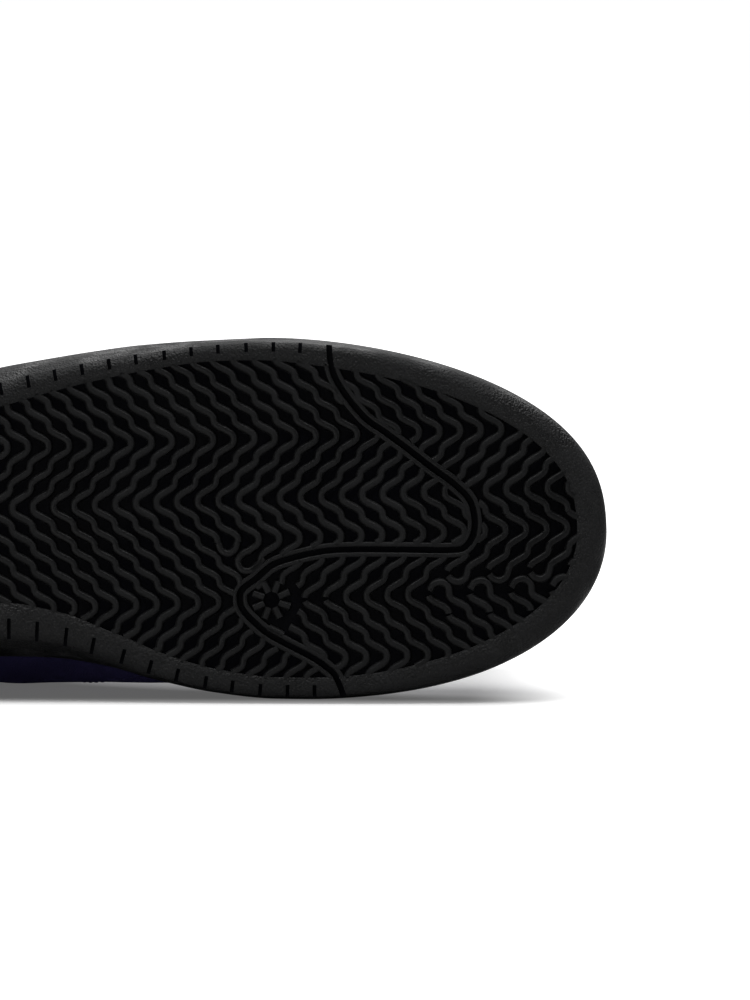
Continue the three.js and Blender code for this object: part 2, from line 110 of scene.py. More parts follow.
# Stations run from 0 at the back of the heel to 1 at the tip of the toe.
outline = table("at medial lateral medialTuck lateralTuck medialRim lateralRim", [
    [0, .84, .685, .23, .23, 7, 7], [.13, .84, .685, .23, .23, 7, 6.5], [.2, .79, .71, .47, .47, 8, 6.5],
    [.27, .707, .762, .78, .72, 9.2, 6.5], [.34, .656, .838, 1, .87, 9.7, 6.4],
    [.39, .662, .898, 1, .87, 10, 6.3], [.44, .682, .934, .81, .72, 9, 5.8],
    [.49, .742, .965, .41, .62, 8, 5.2], [.54, .84, .988, .23, .52, 7, 4.8],
    [.6, .934, .998, .16, .34, 6.2, 4.6], [.66, .986, 1, .16, .27, 5.7, 5.3], [.72, 1, 1, .16, .27, 5.7, 6.2],
    [.84, 1, 1, .16, .2, 7, 7.2], [.93, 1, 1, .16, .16, 8, 8], [1, 1, 1, .16, .16, 8.2, 8.2],
])
heights = table("at rim bed rise edge", [
    [0, 30, 18, 0, 2], [.18, 30, 18, 0, 2], [.45, 26, 15, 0, 2], [.68, 23.5, 12, 0, 2], [.74, 23.5, 12, 0, 2],
    [.82, 23.5, 12, .1 * toeSpring, 3], [.91, 25, 12, .42 * toeSpring, 4], [1, 25, 12, toeSpring, 4],
])
sections = table("foot top medial lateral height fall medialLean lateralLean full", [
    [0, .034, 0, 0, heelHeight, 78, 12, 12, .4],
    [.03, .046, .38 * collarHalf, .38 * collarHalf, .995 * heelHeight, 78, 12, 12, .4],
    [.07, .085, .7 * collarHalf, .72 * collarHalf, .95 * heelHeight, 78, 10, 10, .4],
    [.13, .14, .9 * collarHalf, .92 * collarHalf, 1.06 * ankleHeight, 78, 8, 8, .4],
    [.2, .205, .98 * collarHalf, collarHalf, ankleHeight, 78, 18, 6, .42],
    [.27, .27, .98 * collarHalf, collarHalf, 1.01 * ankleHeight, 72, 32, 4, .44],
    [.33, .325, .95 * collarHalf, .96 * collarHalf, .77 * throatHeight, 62, 38, 0, .45],
    [.39, .372, 1.22 * throatHalfTop, 1.22 * throatHalfTop, .895 * throatHeight, 50, 37, 0, .45],
    [.44, .413, throatHalfTop, throatHalfTop, throatHeight, 43, 33, 0, .44],
    [.5, .475, .8 * throatHalfTop, .8 * throatHalfTop, .865 * throatHeight, 35, 40, 2, .45],
    [.56, .54, .66 * throatHalfTop, .66 * throatHalfTop, 1.225 * vampHeight, 29, 31, 2, .44],
    [.62, .605, .52 * throatHalfTop, .52 * throatHalfTop, 1.11 * vampHeight, 23, 12, 2, .43],
    [.66, .652, .39 * throatHalfTop, .39 * throatHalfTop, 1.04 * vampHeight, 18, 2, 0, .42],
    [.68, .674, .24 * throatHalfTop, .24 * throatHalfTop, 1.01 * vampHeight, 13, 2, 0, .42],
    [.695, .684, 0, 0, vampHeight, 9, 2, 0, .42],
    [.74, .725, 0, 0, 1.12 * toeHeight, 6, 2, 0, .42],
    [.8, .775, 0, 0, 1.06 * toeHeight, 4, 2, 0, .42],
    [.88, .83, 0, 0, 1.01 * toeHeight, 5, 0, 0, .42],
    [.95, .868, 0, 0, .975 * toeHeight, 9, -10, -10, .38],
    [1, .895, 0, 0, .94 * toeHeight, 13, -20, -20, .36],
])


def read(rows, key, column, at):
    # a curve through a column's values that never overshoots them
    x, y, at = rows[key], rows[column], np.asarray(at, float)
    slope = np.diff(y) / np.diff(x)
    product = slope[:-1] * slope[1:]
    total = slope[:-1] + slope[1:]
    inner = np.where(product > 0, 2 * product / np.where(product > 0, total, 1), 0)
    tangent = np.concatenate([slope[:1], inner, slope[-1:]])
    inside = np.clip(at, x[0], x[-1])
    i = np.clip(np.searchsorted(x, inside, side="right") - 1, 0, len(x) - 2)
    span = x[i + 1] - x[i]
    s = (inside - x[i]) / span
    rest = 1 - s
    start = (1 + 2 * s) * rest ** 2 * y[i] + s * rest ** 2 * span * tangent[i]
    return start + s ** 2 * (3 - 2 * s) * y[i + 1] - s ** 2 * rest * span * tangent[i + 1]


def stationOf(place):
    return (1 - np.cos(np.pi * np.asarray(place, float))) / 2


def placeOf(station):
    return math.acos(1 - 2 * station) / math.pi


def closing(station, start, end, along, across):
    # how far an outline has closed on the way to its end
    share = np.clip((station - start) / (end - start), 0, 1)
    return np.maximum(0, 1 - share ** along) ** (1 / across)


def outlinePoint(place, side):
    # past either end a place goes on down the other side
    place = np.asarray(place, float)
    onSide = np.where((place < 0) | (place > 1), -side, side) * np.ones_like(place)
    station = stationOf(place)
    isMedial = onSide > 0
    reach = np.where(isMedial, medialReach * read(outline, "at", "medial", station),
                     lateralReach * read(outline, "at", "lateral", station))
    toe = np.where(isMedial, closing(station, .7, 1, 2.4, 2.1), closing(station, .66, 1, 1.65, 2.4))
    y = onSide * reach * closing(station, .13, 0, 2.2, 2.2) * toe
    return np.stack([station * soleLength, y, np.zeros_like(y)], -1)


def outwards(place, side):
    along = outlinePoint(place + nudge, side) - outlinePoint(place - nudge, side)
    return unit(np.stack([-side * along[..., 1], side * along[..., 0], np.zeros_like(along[..., 0])], -1))


def heightAt(column, station):
    return read(heights, "at", column, station)


def solePoint(place, side, inset, height):
    point = outlinePoint(place, side) - outwards(place, side) * np.asarray(inset)[..., None]
    point[..., 2] = height + heightAt("rise", point[..., 0] / soleLength)
    return point


def ofSide(column, station, side):
    # the outline's Tuck or Rim column on that side
    return read(outline, "at", ("medial" if side > 0 else "lateral") + column, station)


def sidewallInset(station, side, height):
    tuck = sideTuck * ofSide("Tuck", station, side)
    return tuck * np.maximum(0, 1 - np.asarray(height) / bulgeHeight) ** 2


soleSteps = 260  # steps along one side of the sole
soleEdges = np.linspace(0, 1, soleSteps + 1)


def soleRing(inset, height, places=soleEdges):
    # up the medial side and back down the lateral one; inset and height take a station and a side
    sides = []
    for side in (medial, lateral):
        station = stationOf(places)
        ones = np.ones_like(station)
        points = solePoint(places, side, inset(station, side) * ones, height(station, side) * ones)
        sides.append(points if side > 0 else points[::-1])
    return np.concatenate([sides[0][:-1], sides[1][:-1]])  # the two ends of each side coincide


print("1 sizes read, the shoe's frame found from its mounts")


# Meshes
def settle(obj):
    # lays a finished mesh where the frame's nodes lie
    obj.data.transform(shoeToRow)
    obj.matrix_world = Matrix.Identity(4)
    return obj


def makeMesh(name, points, faces, material=None, smooth=True):
    mesh = bpy.data.meshes.new(name)
    mesh.from_pydata(np.asarray(points, float).tolist(), [], [list(map(int, face)) for face in faces])
    mesh.validate()
    obj = bpy.data.objects.new(name, mesh)
    bpy.context.scene.collection.objects.link(obj)
    if material:
        mesh.materials.append(material)
    if smooth:
        mesh.shade_smooth()
    return obj


def loftFaces(ringCount, ringSize, closedEnds=False):
    i, j = np.meshgrid(np.arange(ringCount - 1), np.arange(ringSize), indexing="ij")
    n = (j + 1) % ringSize
    quads = np.stack([i * ringSize + j, i * ringSize + n, (i + 1) * ringSize + n, (i + 1) * ringSize + j], -1)
    faces = quads.reshape(-1, 4).tolist()
    if closedEnds:
        faces.append(list(range(ringSize))[::-1])
        faces.append([(ringCount - 1) * ringSize + k for k in range(ringSize)])
    return faces


def prisms(name, pairs):
    # closed prisms in one mesh, each between two rings of points
    points, faces = [], []
    for low, high in pairs:
        start = len(points)
        points += [*low, *high]
        faces += [[start + v for v in face] for face in loftFaces(2, len(low), closedEnds=True)]
    return fixNormals(makeMesh(name, points, faces))


def setClothMap(obj, cloth):
    # the weave's place at each vertex, in millimetres
    layer = obj.data.uv_layers.new(name="cloth")
    corner = np.empty(len(obj.data.loops), int)
    obj.data.loops.foreach_get("vertex_index", corner)
    layer.data.foreach_set("uv", cloth.reshape(-1, 2)[corner].ravel())


def fixNormals(obj):
    # turns a closed mesh's faces outwards, by the sign of its volume
    mesh = obj.data
    mesh.update()
    points = np.empty(len(mesh.vertices) * 3)
    mesh.vertices.foreach_get("co", points)
    points = points.reshape(-1, 3)
    mesh.calc_loop_triangles()
    corners = np.empty(len(mesh.loop_triangles) * 3, int)
    mesh.loop_triangles.foreach_get("vertices", corners)
    a, b, c = (points[corners.reshape(-1, 3)[:, k]] for k in range(3))
    if np.einsum("ij,ij->i", np.cross(a, b), c).sum() < 0:
        mesh.flip_normals()
    return obj


def plainMesh(obj):
    # the evaluated object as a plain mesh without its modifiers
    bpy.context.view_layer.update()
    evaluated = obj.evaluated_get(bpy.context.evaluated_depsgraph_get())
    mesh = bpy.data.meshes.new_from_object(evaluated)
    old = obj.data
    obj.modifiers.clear()
    obj.data = mesh
    if isinstance(old, bpy.types.Mesh) and old.users == 0:
        bpy.data.meshes.remove(old)
    mesh.name = obj.name
    return obj


def cut(obj, cutter):
    # takes the cutter out of the piece, and removes the cutter
    modifier = obj.modifiers.new("cut", "BOOLEAN")
    modifier.object = cutter
    modifier.solver = "MANIFOLD"
    plainMesh(obj)
    bpy.data.objects.remove(cutter)
    return obj


def finishPiece(obj, slot, *nodes):
    settle(obj)
    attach(obj, "root")
    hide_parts(*nodes)
    return obj


# Node trees
class Tree:
    # shortens the making of a node tree
    def __init__(self, tree):
        self.tree = tree

    def add(self, kind, settings=None, **inputs):
        node = self.tree.nodes.new(kind)
        for name, value in (settings or {}).items():
            setattr(node, name, value)
        for name, value in inputs.items():
            self.feed(node, name, value)
        return node

    def feed(self, node, name, value):
        # a name with _ for spaces, or _ and the input's number where several share a name
        spoken = name.replace("_", " ")
        found = [s for s in node.inputs if s.enabled and (s.name == spoken or s.identifier == name)]
        socket = found[0] if found else node.inputs[int(name[1:])]
        if isinstance(value, bpy.types.NodeSocket):
            self.tree.links.new(value, socket)
        elif isinstance(value, bpy.types.Node):
            self.tree.links.new(first(value), socket)
        else:
            socket.default_value = value


def first(node):
    return next(socket for socket in node.outputs if socket.enabled)


def out(node, name):
    return next(socket for socket in node.outputs if socket.enabled and socket.name == name)


def newGroup(name, inputs, outputs, kind="ShaderNodeTree"):
    group = bpy.data.node_groups.new(name, kind)
    for label, (socketType, value) in inputs.items():
        socket = group.interface.new_socket(label, in_out="INPUT", socket_type=socketType)
        if value is not None:
            socket.default_value = value
    for label, socketType in outputs.items():
        group.interface.new_socket(label, in_out="OUTPUT", socket_type=socketType)
    tree = Tree(group)
    return tree, group.nodes.new("NodeGroupInput"), group.nodes.new("NodeGroupOutput")


number = "NodeSocketFloat"


def maths(tree, operation, a, b=0.0, c=0.0):
    return first(tree.add("ShaderNodeMath", {"operation": operation}, _0=a, _1=b, _2=c))


def ramp(tree, value, low, high, lowOut=0.0, highOut=1.0):
    return first(tree.add("ShaderNodeMapRange", {"interpolation_type": "SMOOTHSTEP"}, Value=value,
                          From_Min=low, From_Max=high, To_Min=lowOut, To_Max=highOut))


def mixColours(tree, factor, a, b):
    node = tree.add("ShaderNodeMix", {"data_type": "RGBA"}, Factor=factor)
    sockets = [socket for socket in node.inputs if socket.type == "RGBA"]
    for socket, value in zip(sockets, (a, b)):
        if isinstance(value, bpy.types.NodeSocket):
            tree.tree.links.new(value, socket)
        else:
            socket.default_value = value
    return next(socket for socket in node.outputs if socket.type == "RGBA")


def grainGroup():
    # fine and coarse grain of moulded rubber, leather or nap, as a height and a mask
    tree, start, end = newGroup("grain", {
        "Scale": (number, 1500.0), "Coarse Scale": (number, 60.0), "Coarse Share": (number, .3),
        "Pebble": (number, 0.0),
    }, {"Height": number, "Mask": number})
    place = out(tree.add("ShaderNodeTexCoord"), "Object")
    scale = start.outputs["Scale"]
    fine = tree.add("ShaderNodeTexNoise", Vector=place, Scale=scale, Detail=3.0, Roughness=.6)
    coarse = tree.add("ShaderNodeTexNoise", Vector=place, Scale=start.outputs["Coarse Scale"], Detail=4.0,
                      Roughness=.55)
    cells = tree.add("ShaderNodeTexVoronoi", {"feature": "SMOOTH_F1"}, Vector=place, Scale=scale)
    pebbles = maths(tree, "SUBTRACT", 1.0, out(cells, "Distance"))
    both = tree.add("ShaderNodeMix", {"data_type": "FLOAT"}, Factor=start.outputs["Pebble"],
                    A=out(fine, "Fac"), B=pebbles)
    height = tree.add("ShaderNodeMix", {"data_type": "FLOAT"}, Factor=start.outputs["Coarse Share"],
                      A=out(both, "Result"), B=out(coarse, "Fac"))
    tree.tree.links.new(out(height, "Result"), end.inputs["Height"])
    tree.tree.links.new(ramp(tree, out(coarse, "Fac"), .35, .65), end.inputs["Mask"])
    return tree.tree


def dustAndGlintsGroup():
    # pale specks and smears: dust of use, and on the rubber also painted glints
    tree, start, end = newGroup("dustAndGlints", {"Amount": (number, .3), "Scale": (number, 90.0)}, {"Mask": number})
    place = out(tree.add("ShaderNodeTexCoord"), "Object")
    smears = tree.add("ShaderNodeTexNoise", Vector=place, Scale=start.outputs["Scale"], Detail=6.0,
                      Roughness=.7, Distortion=.6)
    specks = tree.add("ShaderNodeTexNoise", Vector=place, Scale=1400.0, Detail=1.0)
    soft = ramp(tree, out(smears, "Fac"), .5, .78)
    sharp = ramp(tree, out(specks, "Fac"), .7, .76)
    mask = maths(tree, "MULTIPLY", maths(tree, "MAXIMUM", soft, sharp), start.outputs["Amount"])
    tree.tree.links.new(mask, end.inputs["Mask"])
    return tree.tree


def weaveGroup():
    # over and under threads along the piece's own UV map, in millimetres
    tree, start, end = newGroup("weave", {"Thread": (number, .7)}, {"Height": number, "Mask": number})
    place = out(tree.add("ShaderNodeUVMap", {"uv_map": "cloth"}), "UV")
    parts = tree.add("ShaderNodeSeparateXYZ", Vector=place)
    across = maths(tree, "DIVIDE", out(parts, "X"), start.outputs["Thread"])
    along = maths(tree, "DIVIDE", out(parts, "Y"), start.outputs["Thread"])
    waveA = maths(tree, "SINE", maths(tree, "MULTIPLY", across, math.pi))
    waveB = maths(tree, "SINE", maths(tree, "MULTIPLY", along, math.pi))
    height = maths(tree, "MULTIPLY_ADD", maths(tree, "MULTIPLY", waveA, waveB), .5, .5)
    tree.tree.links.new(height, end.inputs["Height"])
    noise = tree.add("ShaderNodeTexNoise", Vector=place, Scale=.15, Detail=3.0)
    tree.tree.links.new(out(noise, "Fac"), end.inputs["Mask"])
    return tree.tree


grain, dustAndGlints, weave = grainGroup(), dustAndGlintsGroup(), weaveGroup()


def surface(name, look):
    # a material from a look: colours, roughness range, a grain or weave and its depth with painted shade in
    # its hollows, dust with painted glints, coat, sheen
    material = bpy.data.materials.new(name)
    material.use_nodes = True
    tree = Tree(material.node_tree)
    shader = material.node_tree.nodes["Principled BSDF"]
    if "thread" in look:
        detail = tree.add("ShaderNodeGroup", {"node_tree": weave}, Thread=look["thread"])
    else:
        detail = tree.add("ShaderNodeGroup", {"node_tree": grain}, Scale=look["scale"],
                          Coarse_Scale=look["coarse"], Coarse_Share=look["coarseShare"],
                          Pebble=look.get("pebble", 0.0))
    height, mask = out(detail, "Height"), out(detail, "Mask")
    dark, light = ((*look[key], 1.0) for key in ("dark", "light"))
    shade = mixColours(tree, mask, dark, light)
    # painted shade: the low points of the grain or weave are darkened to .6 of the dark colour
    deep = mixColours(tree, ramp(tree, height, .25, .6), (*(.6 * v for v in look["dark"]), 1.0), shade)
    # pale specks and smears: dust, and on the rim and sidewall rubber painted glints
    dustAndGlintsNode = tree.add("ShaderNodeGroup", {"node_tree": dustAndGlints}, Amount=look.get("dustAndGlints", 0.0), Scale=90.0)
    base = mixColours(tree, out(dustAndGlintsNode, "Mask"), deep, (*look.get("dustAndGlintColour", (.2, .2, .2)), 1.0))
    low, high = look["roughness"]
    wear = maths(tree, "ADD", maths(tree, "MULTIPLY", mask, .6), maths(tree, "MULTIPLY", height, .4))
    rough = ramp(tree, wear, .2, .8, low, high)
    bump = tree.add("ShaderNodeBump", Strength=look["bump"], Distance=look["depth"], Height=height)
    tree.feed(shader, "Base_Color", base)
    tree.feed(shader, "Roughness", rough)
    tree.feed(shader, "Normal", first(bump))
    plain = {"Coat Weight": "coat", "Coat Roughness": "coatRoughness", "Sheen Weight": "sheen",
             "Sheen Roughness": "sheenRoughness", "Specular IOR Level": "specular"}
    for label, key in plain.items():
        if key in look:
            shader.inputs[label].default_value = look[key]
    if "sheenTint" in look:
        shader.inputs["Sheen Tint"].default_value = (*look["sheenTint"], 1.0)
    return material


finishes = {
    "treadRubber": {
        "dark": (.0105, .0108, .0115), "light": (.0165, .017, .018), "scale": 2600.0, "coarse": 45.0,
        "coarseShare": .25, "roughness": (.36, .58), "bump": .5, "depth": .0003, "dustAndGlints": .16,
        "dustAndGlintColour": (.06, .06, .062), "specular": .3,
    },
    # painted shade: the tread's own rubber, darkened for the shade in the sunk field's pits and the cuts'
    # bottoms
    "pitRubberPaintedShade": {
        "dark": (.0022, .0023, .004), "light": (.0044, .0046, .0078), "scale": 1800.0, "coarse": 40.0,
        "coarseShare": .3, "roughness": (.6, .8), "bump": .4, "depth": .0003, "dustAndGlints": .08,
        "dustAndGlintColour": (.012, .012, .015), "specular": .1,
    },
    "rimRubber": {
        "dark": (.0105, .0108, .0115), "light": (.018, .0185, .0195), "scale": 1500.0, "coarse": 60.0,
        "coarseShare": .2, "pebble": .5, "roughness": (.34, .66), "bump": 1.0, "depth": .0008, "dustAndGlints": .35,
        "dustAndGlintColour": (.06, .06, .062), "specular": .4,
    },
    "sidewallRubber": {
        "dark": (.0048, .0048, .0055), "light": (.0155, .0155, .017), "scale": 1100.0, "coarse": 90.0,
        "coarseShare": .3, "pebble": .5, "roughness": (.38, .7), "bump": 1.0, "depth": .0011, "dustAndGlints": .3,
        "dustAndGlintColour": (.09, .09, .092), "specular": .45, "coat": .06, "coatRoughness": .4,
    },
    "suede": {
        "dark": (.028, .0235, .092), "light": (.042, .0355, .137), "scale": 2600.0, "coarse": 110.0,
        "coarseShare": .3, "roughness": (.86, .97), "bump": 1.0, "depth": .0008, "dustAndGlints": .12,
        "dustAndGlintColour": (.05, .045, .1), "specular": .15, "sheen": .35, "sheenRoughness": .45,
        "sheenTint": (.32, .28, .75),
    },
    "lining": {
        "dark": (.011, .011, .014), "light": (.022, .022, .027), "thread": .9, "roughness": (.8, .95),
        "bump": .5, "depth": .0004, "dustAndGlints": .06, "specular": .2, "sheen": .25, "sheenRoughness": .5,
    },
    "tongueCloth": {
        "dark": (.012, .0105, .032), "light": (.024, .021, .06), "thread": .6, "roughness": (.8, .94),
        "bump": .5, "depth": .0003, "dustAndGlints": .06, "specular": .2, "sheen": .25, "sheenRoughness": .5,
    },
    "lace": {
        "dark": (.012, .012, .013), "light": (.03, .03, .033), "thread": .75, "roughness": (.7, .88),
        "bump": .7, "depth": .0004, "dustAndGlints": .1, "specular": .25, "sheen": .3, "sheenRoughness": .4,
    },
    "thread": {
        "dark": (.04, .035, .1), "light": (.07, .062, .17), "scale": 2500.0, "coarse": 150.0,
        "coarseShare": .3, "roughness": (.5, .7), "bump": .4, "depth": .0002, "specular": .4,
    },
}
finish = {name: surface(name, look) for name, look in finishes.items()}
print("2 finishes made")


# Camera, light and floor
stageLook = {
    "floorHalf": 14.0,
    "floorSeen": .9, "floorBounce": .42,  # how pale the floor is, seen and as a reflector
    "floorGlow": .105,              # keeps the seen floor's shadow open
    "shadowHalf": (.105, .045, 0),   # beyond this half size round the shoe
    "burnsOut": (0, .05),           # the seen floor turns white over these metres
    "worldSeen": 1.0, "worldLight": .005,
    "lights": {  # place, size in metres, power in watts
        "top": ((.05, -.12, 1.1), (1.1, .9), 8.6),
        "front": ((-.5, -2.2, .9), (1.2, 1.0), .3),
        "back": ((.3, 1.6, 1.3), (1.6, 1.2), 12),
        "side": ((1.6, -.4, .6), (.7, .7), 1.8),
        "low": ((-.45, -1.7, .1), (.7, .16), 2.1),  # reaches the upper under the sole's edge
    },
}


def cameraAndStage():
    turn = math.radians(shoeLook["photoTurn"])
    x, y, z = shoeAxes.T
    right = x * math.cos(turn) + y * math.sin(turn)
    up = x * math.sin(turn) - y * math.cos(turn)
    middle = shoeStart + shoeAxes @ np.array(shoeLook["photoPlace"]) / 1000
    away = shoeLook["cameraAway"]
    data = bpy.data.cameras.new("camera")
    camera = bpy.data.objects.new("camera", data)
    bpy.context.scene.collection.objects.link(camera)
    rows = np.column_stack([right, up, -z, middle - z * away / 1000])
    camera.matrix_world = Matrix([*rows.tolist(), [0, 0, 0, 1]])
    data.lens = data.sensor_width * away / (shoeLook["pixelSize"] * shoeLook["picturePixels"])
    data.clip_start, data.clip_end = .05, 60
    bpy.context.scene.camera = camera

    half = stageLook["floorHalf"]
    floor = makeMesh("floor", [(-half, -half, 0), (half, -half, 0), (half, half, 0), (-half, half, 0)],
                     [(0, 1, 2, 3)], smooth=False)
    material = bpy.data.materials.new("paleFloor")
    material.use_nodes = True
    tree = Tree(material.node_tree)
    shader = material.node_tree.nodes["Principled BSDF"]
    seen = out(tree.add("ShaderNodeLightPath"), "Is Camera Ray")
    seenPale, bounce = ((stageLook[key],) * 3 + (1.0,) for key in ("floorSeen", "floorBounce"))
    tree.feed(shader, "Base_Color", mixColours(tree, seen, bounce, seenPale))
    place = out(tree.add("ShaderNodeTexCoord"), "Object")
    place = tree.add("ShaderNodeVectorMath", {"operation": "ABSOLUTE"}, _0=place)
    place = tree.add("ShaderNodeVectorMath", {"operation": "SUBTRACT"}, _0=place, _1=stageLook["shadowHalf"])
    place = tree.add("ShaderNodeVectorMath", {"operation": "MAXIMUM"}, _0=place, _1=(0, 0, 0))
    away = out(tree.add("ShaderNodeVectorMath", {"operation": "LENGTH"}, _0=place), "Value")
    glow = ramp(tree, away, *stageLook["burnsOut"], stageLook["floorGlow"], 1.0)
    burnt = maths(tree, "MULTIPLY", seen, glow)
    shader.inputs["Emission Color"].default_value = (1, 1, 1, 1)
    tree.feed(shader, "Emission_Strength", burnt)
    shader.inputs["Roughness"].default_value = .9
    shader.inputs["Specular IOR Level"].default_value = .1
    floor.data.materials.append(material)

    world = bpy.data.worlds.new("studio")
    world.use_nodes = True
    bpy.context.scene.world = world
    tree = Tree(world.node_tree)
    background = world.node_tree.nodes["Background"]
    seen = out(tree.add("ShaderNodeLightPath"), "Is Camera Ray")
    strength = tree.add("ShaderNodeMix", {"data_type": "FLOAT"}, Factor=seen, A=stageLook["worldLight"],
                        B=stageLook["worldSeen"])
    background.inputs["Color"].default_value = (1, 1, 1, 1)
    tree.feed(background, "Strength", out(strength, "Result"))
    for name, (spot, size, power) in stageLook["lights"].items():
        light = bpy.data.lights.new(name, "AREA")
        light.shape = "RECTANGLE"
        light.size, light.size_y = size
        light.energy = power
        lamp = bpy.data.objects.new(name, light)
        lamp.location = spot
        toShoe = Vector((0, 0, .05)) - Vector(spot)
        lamp.rotation_euler = toShoe.to_track_quat("-Z", "Y").to_euler()
        bpy.context.scene.collection.objects.link(lamp)
    bpy.context.scene.view_settings.view_transform = "Standard"
    bpy.context.scene.view_settings.look = "None"


cameraAndStage()
print("3 camera, light and floor set")


# Outsole: a slab with a flat rim and a sunk field, cut by the flex groove and the rim's notches
treadLook = {
    "pitch": 6.18,           # from rib to rib along the shoe
    "firstRib": 169.2,       # where rib 0 turns, on the outermost row of turns
    "ribBase": 3.1, "ribTop": 1.6, "ribRound": .5,
    "fieldDepth": 2.0,
    "wave": 6.08, "waveDepth": .92,  # the ribs step once in each wave across the shoe
    "turnSoft": 1.1,
    "step": .5,              # between points of a rib, across the shoe
    "grooveWidth": 1.75, "grooveDepth": 2.6, "borderWidth": 1.35,
    "notchPitch": 8.25, "firstNotch": 209, "notches": 25,  # a row on each side, from the ball to the heel
    "notchWidth": 1.1, "notchDepth": 1.65,
    "intoRim": .9,           # how far a rib's end runs into the rim
    "forefootFrom": 150,     # ribs whose middle is ahead of this make the forefoot's piece
    "grooveClear": 1.5,      # ribs stay this far from the groove's middle
    "starSpot": (197.3, 18.3), "starReach": (2.4, 3.5, 4.6, 5.9),  # eight rays, where the turns meet
    "starClear": 5.6,        # ribs stay this far from the star's centre
}
firstTurn = -30.3
rearTurns = [firstTurn, -12.1, 18.3]                # distances from the axis where the ribs turn
middleTurns = [firstTurn, -12.1, .1]
frontTurns = [firstTurn, -12.1, .1, 18.3, 36.5]

# The long flex groove from the lateral edge to the medial one.
groovePoints = np.array([
    (217.5, -63), (217.8, -51.8), (220.3, -44.8), (227.1, -35.5), (233.2, -30.7), (240.2, -25.1),
    (246.6, -19.7), (253.3, -14.4), (257.6, -9.7), (259, -4.8), (258.8, 0), (256.5, 4.1), (252.3, 5.4),
    (237.3, 4.7), (223.5, 4.1), (214.2, 4.2), (205.1, 5.7), (198.1, 7.8), (192.9, 11.8), (188.5, 15),
    (187.8, 18.2), (188.8, 21.3), (192.3, 25.3), (196.4, 28.8), (202.3, 32.3), (208.8, 36), (212.8, 39),
    (216, 42.7), (219.4, 53),
])


def smoothThrough(points, step=.5):
    # a Catmull-Rom curve through the points, cut into even steps
    points = np.asarray(points, float)
    around = np.concatenate([2 * points[:1] - points[1:2], points, 2 * points[-1:] - points[-2:-1]])
    made = []
    for p0, p1, p2, p3 in zip(around, around[1:], around[2:], around[3:]):
        s = np.linspace(0, 1, 13)[:-1, None]
        made.append(.5 * (2 * p1 + (p2 - p0) * s + (2 * p0 - 5 * p1 + 4 * p2 - p3) * s ** 2
                          + (3 * p1 - p0 - 3 * p2 + p3) * s ** 3))
    made = np.concatenate([*made, around[-2:-1]])
    return evenly(made, step)


def lengthsAlong(points):
    return np.concatenate([[0], np.cumsum(np.linalg.norm(np.diff(points, axis=0), axis=1))])


def evenly(points, step):
    lengths = lengthsAlong(points)
    count = max(2, int(round(lengths[-1] / step)) + 1)
    wanted = np.linspace(0, lengths[-1], count)
    return np.stack([np.interp(wanted, lengths, points[:, k]) for k in range(points.shape[1])], -1)


groove = smoothThrough(groovePoints)
grooveAlong = unit(np.gradient(groove, axis=0))
grooveAcross = np.stack([-grooveAlong[:, 1], grooveAlong[:, 0]], -1)


def isInside(points, polygon):
    x, y = points[:, 0][:, None], points[:, 1][:, None]
    ax, ay = polygon[:, 0], polygon[:, 1]
    bx, by = np.roll(ax, -1), np.roll(ay, -1)
    crosses = (ay > y) != (by > y)
    at = ax + (y - ay) / np.where(by == ay, 1, by - ay) * (bx - ax)
    return (crosses & (x < at)).sum(1) % 2 == 1


def awayFrom(points, line):
    # the shortest way from each point to a line's points
    return np.array([np.linalg.norm(line - point, axis=1).min() for point in points])


def rimInset(station, side):
    return sidewallInset(station, side, 0) + ofSide("Rim", station, side)


fieldEdge = soleRing(lambda s, side: rimInset(s, side) - treadLook["intoRim"], lambda s, side: 0 * s)[:, :2]
aheadOfGroove = np.concatenate([groove, [(219.4, 90), (400, 90), (400, -90), (217.5, -90)]])


def ribRun(turns, rib, m):
    # where a rib lies along the shoe at distances m from the axis
    fine = np.arange(-66, 56, .1)
    direction = np.ones_like(fine)
    for i, turn in enumerate(turns):
        direction += (-1) ** (i + 1) * (1 + np.tanh((fine - turn) / treadLook["turnSoft"]))
    wave = 1 - treadLook["waveDepth"] * np.cos(2 * np.pi * (fine - firstTurn) / treadLook["wave"])
    slope = direction * wave
    run = np.cumsum(slope) * .1
    run -= np.interp(firstTurn, fine, run)
    return treadLook["firstRib"] + rib * treadLook["pitch"] + np.interp(m, fine, run)


def ribPoints(turns, rib, low, high):
    m = np.arange(low, high + treadLook["step"] / 2, treadLook["step"])
    return np.stack([ribRun(turns, rib, m), m], -1)


def pieces(points, keep):
    # the stretches of a line whose points are kept
    marks = np.flatnonzero(np.diff(np.concatenate([[0], keep.astype(int), [0]])))
    return [points[a:b] for a, b in zip(marks[::2], marks[1::2]) if b - a > 2]


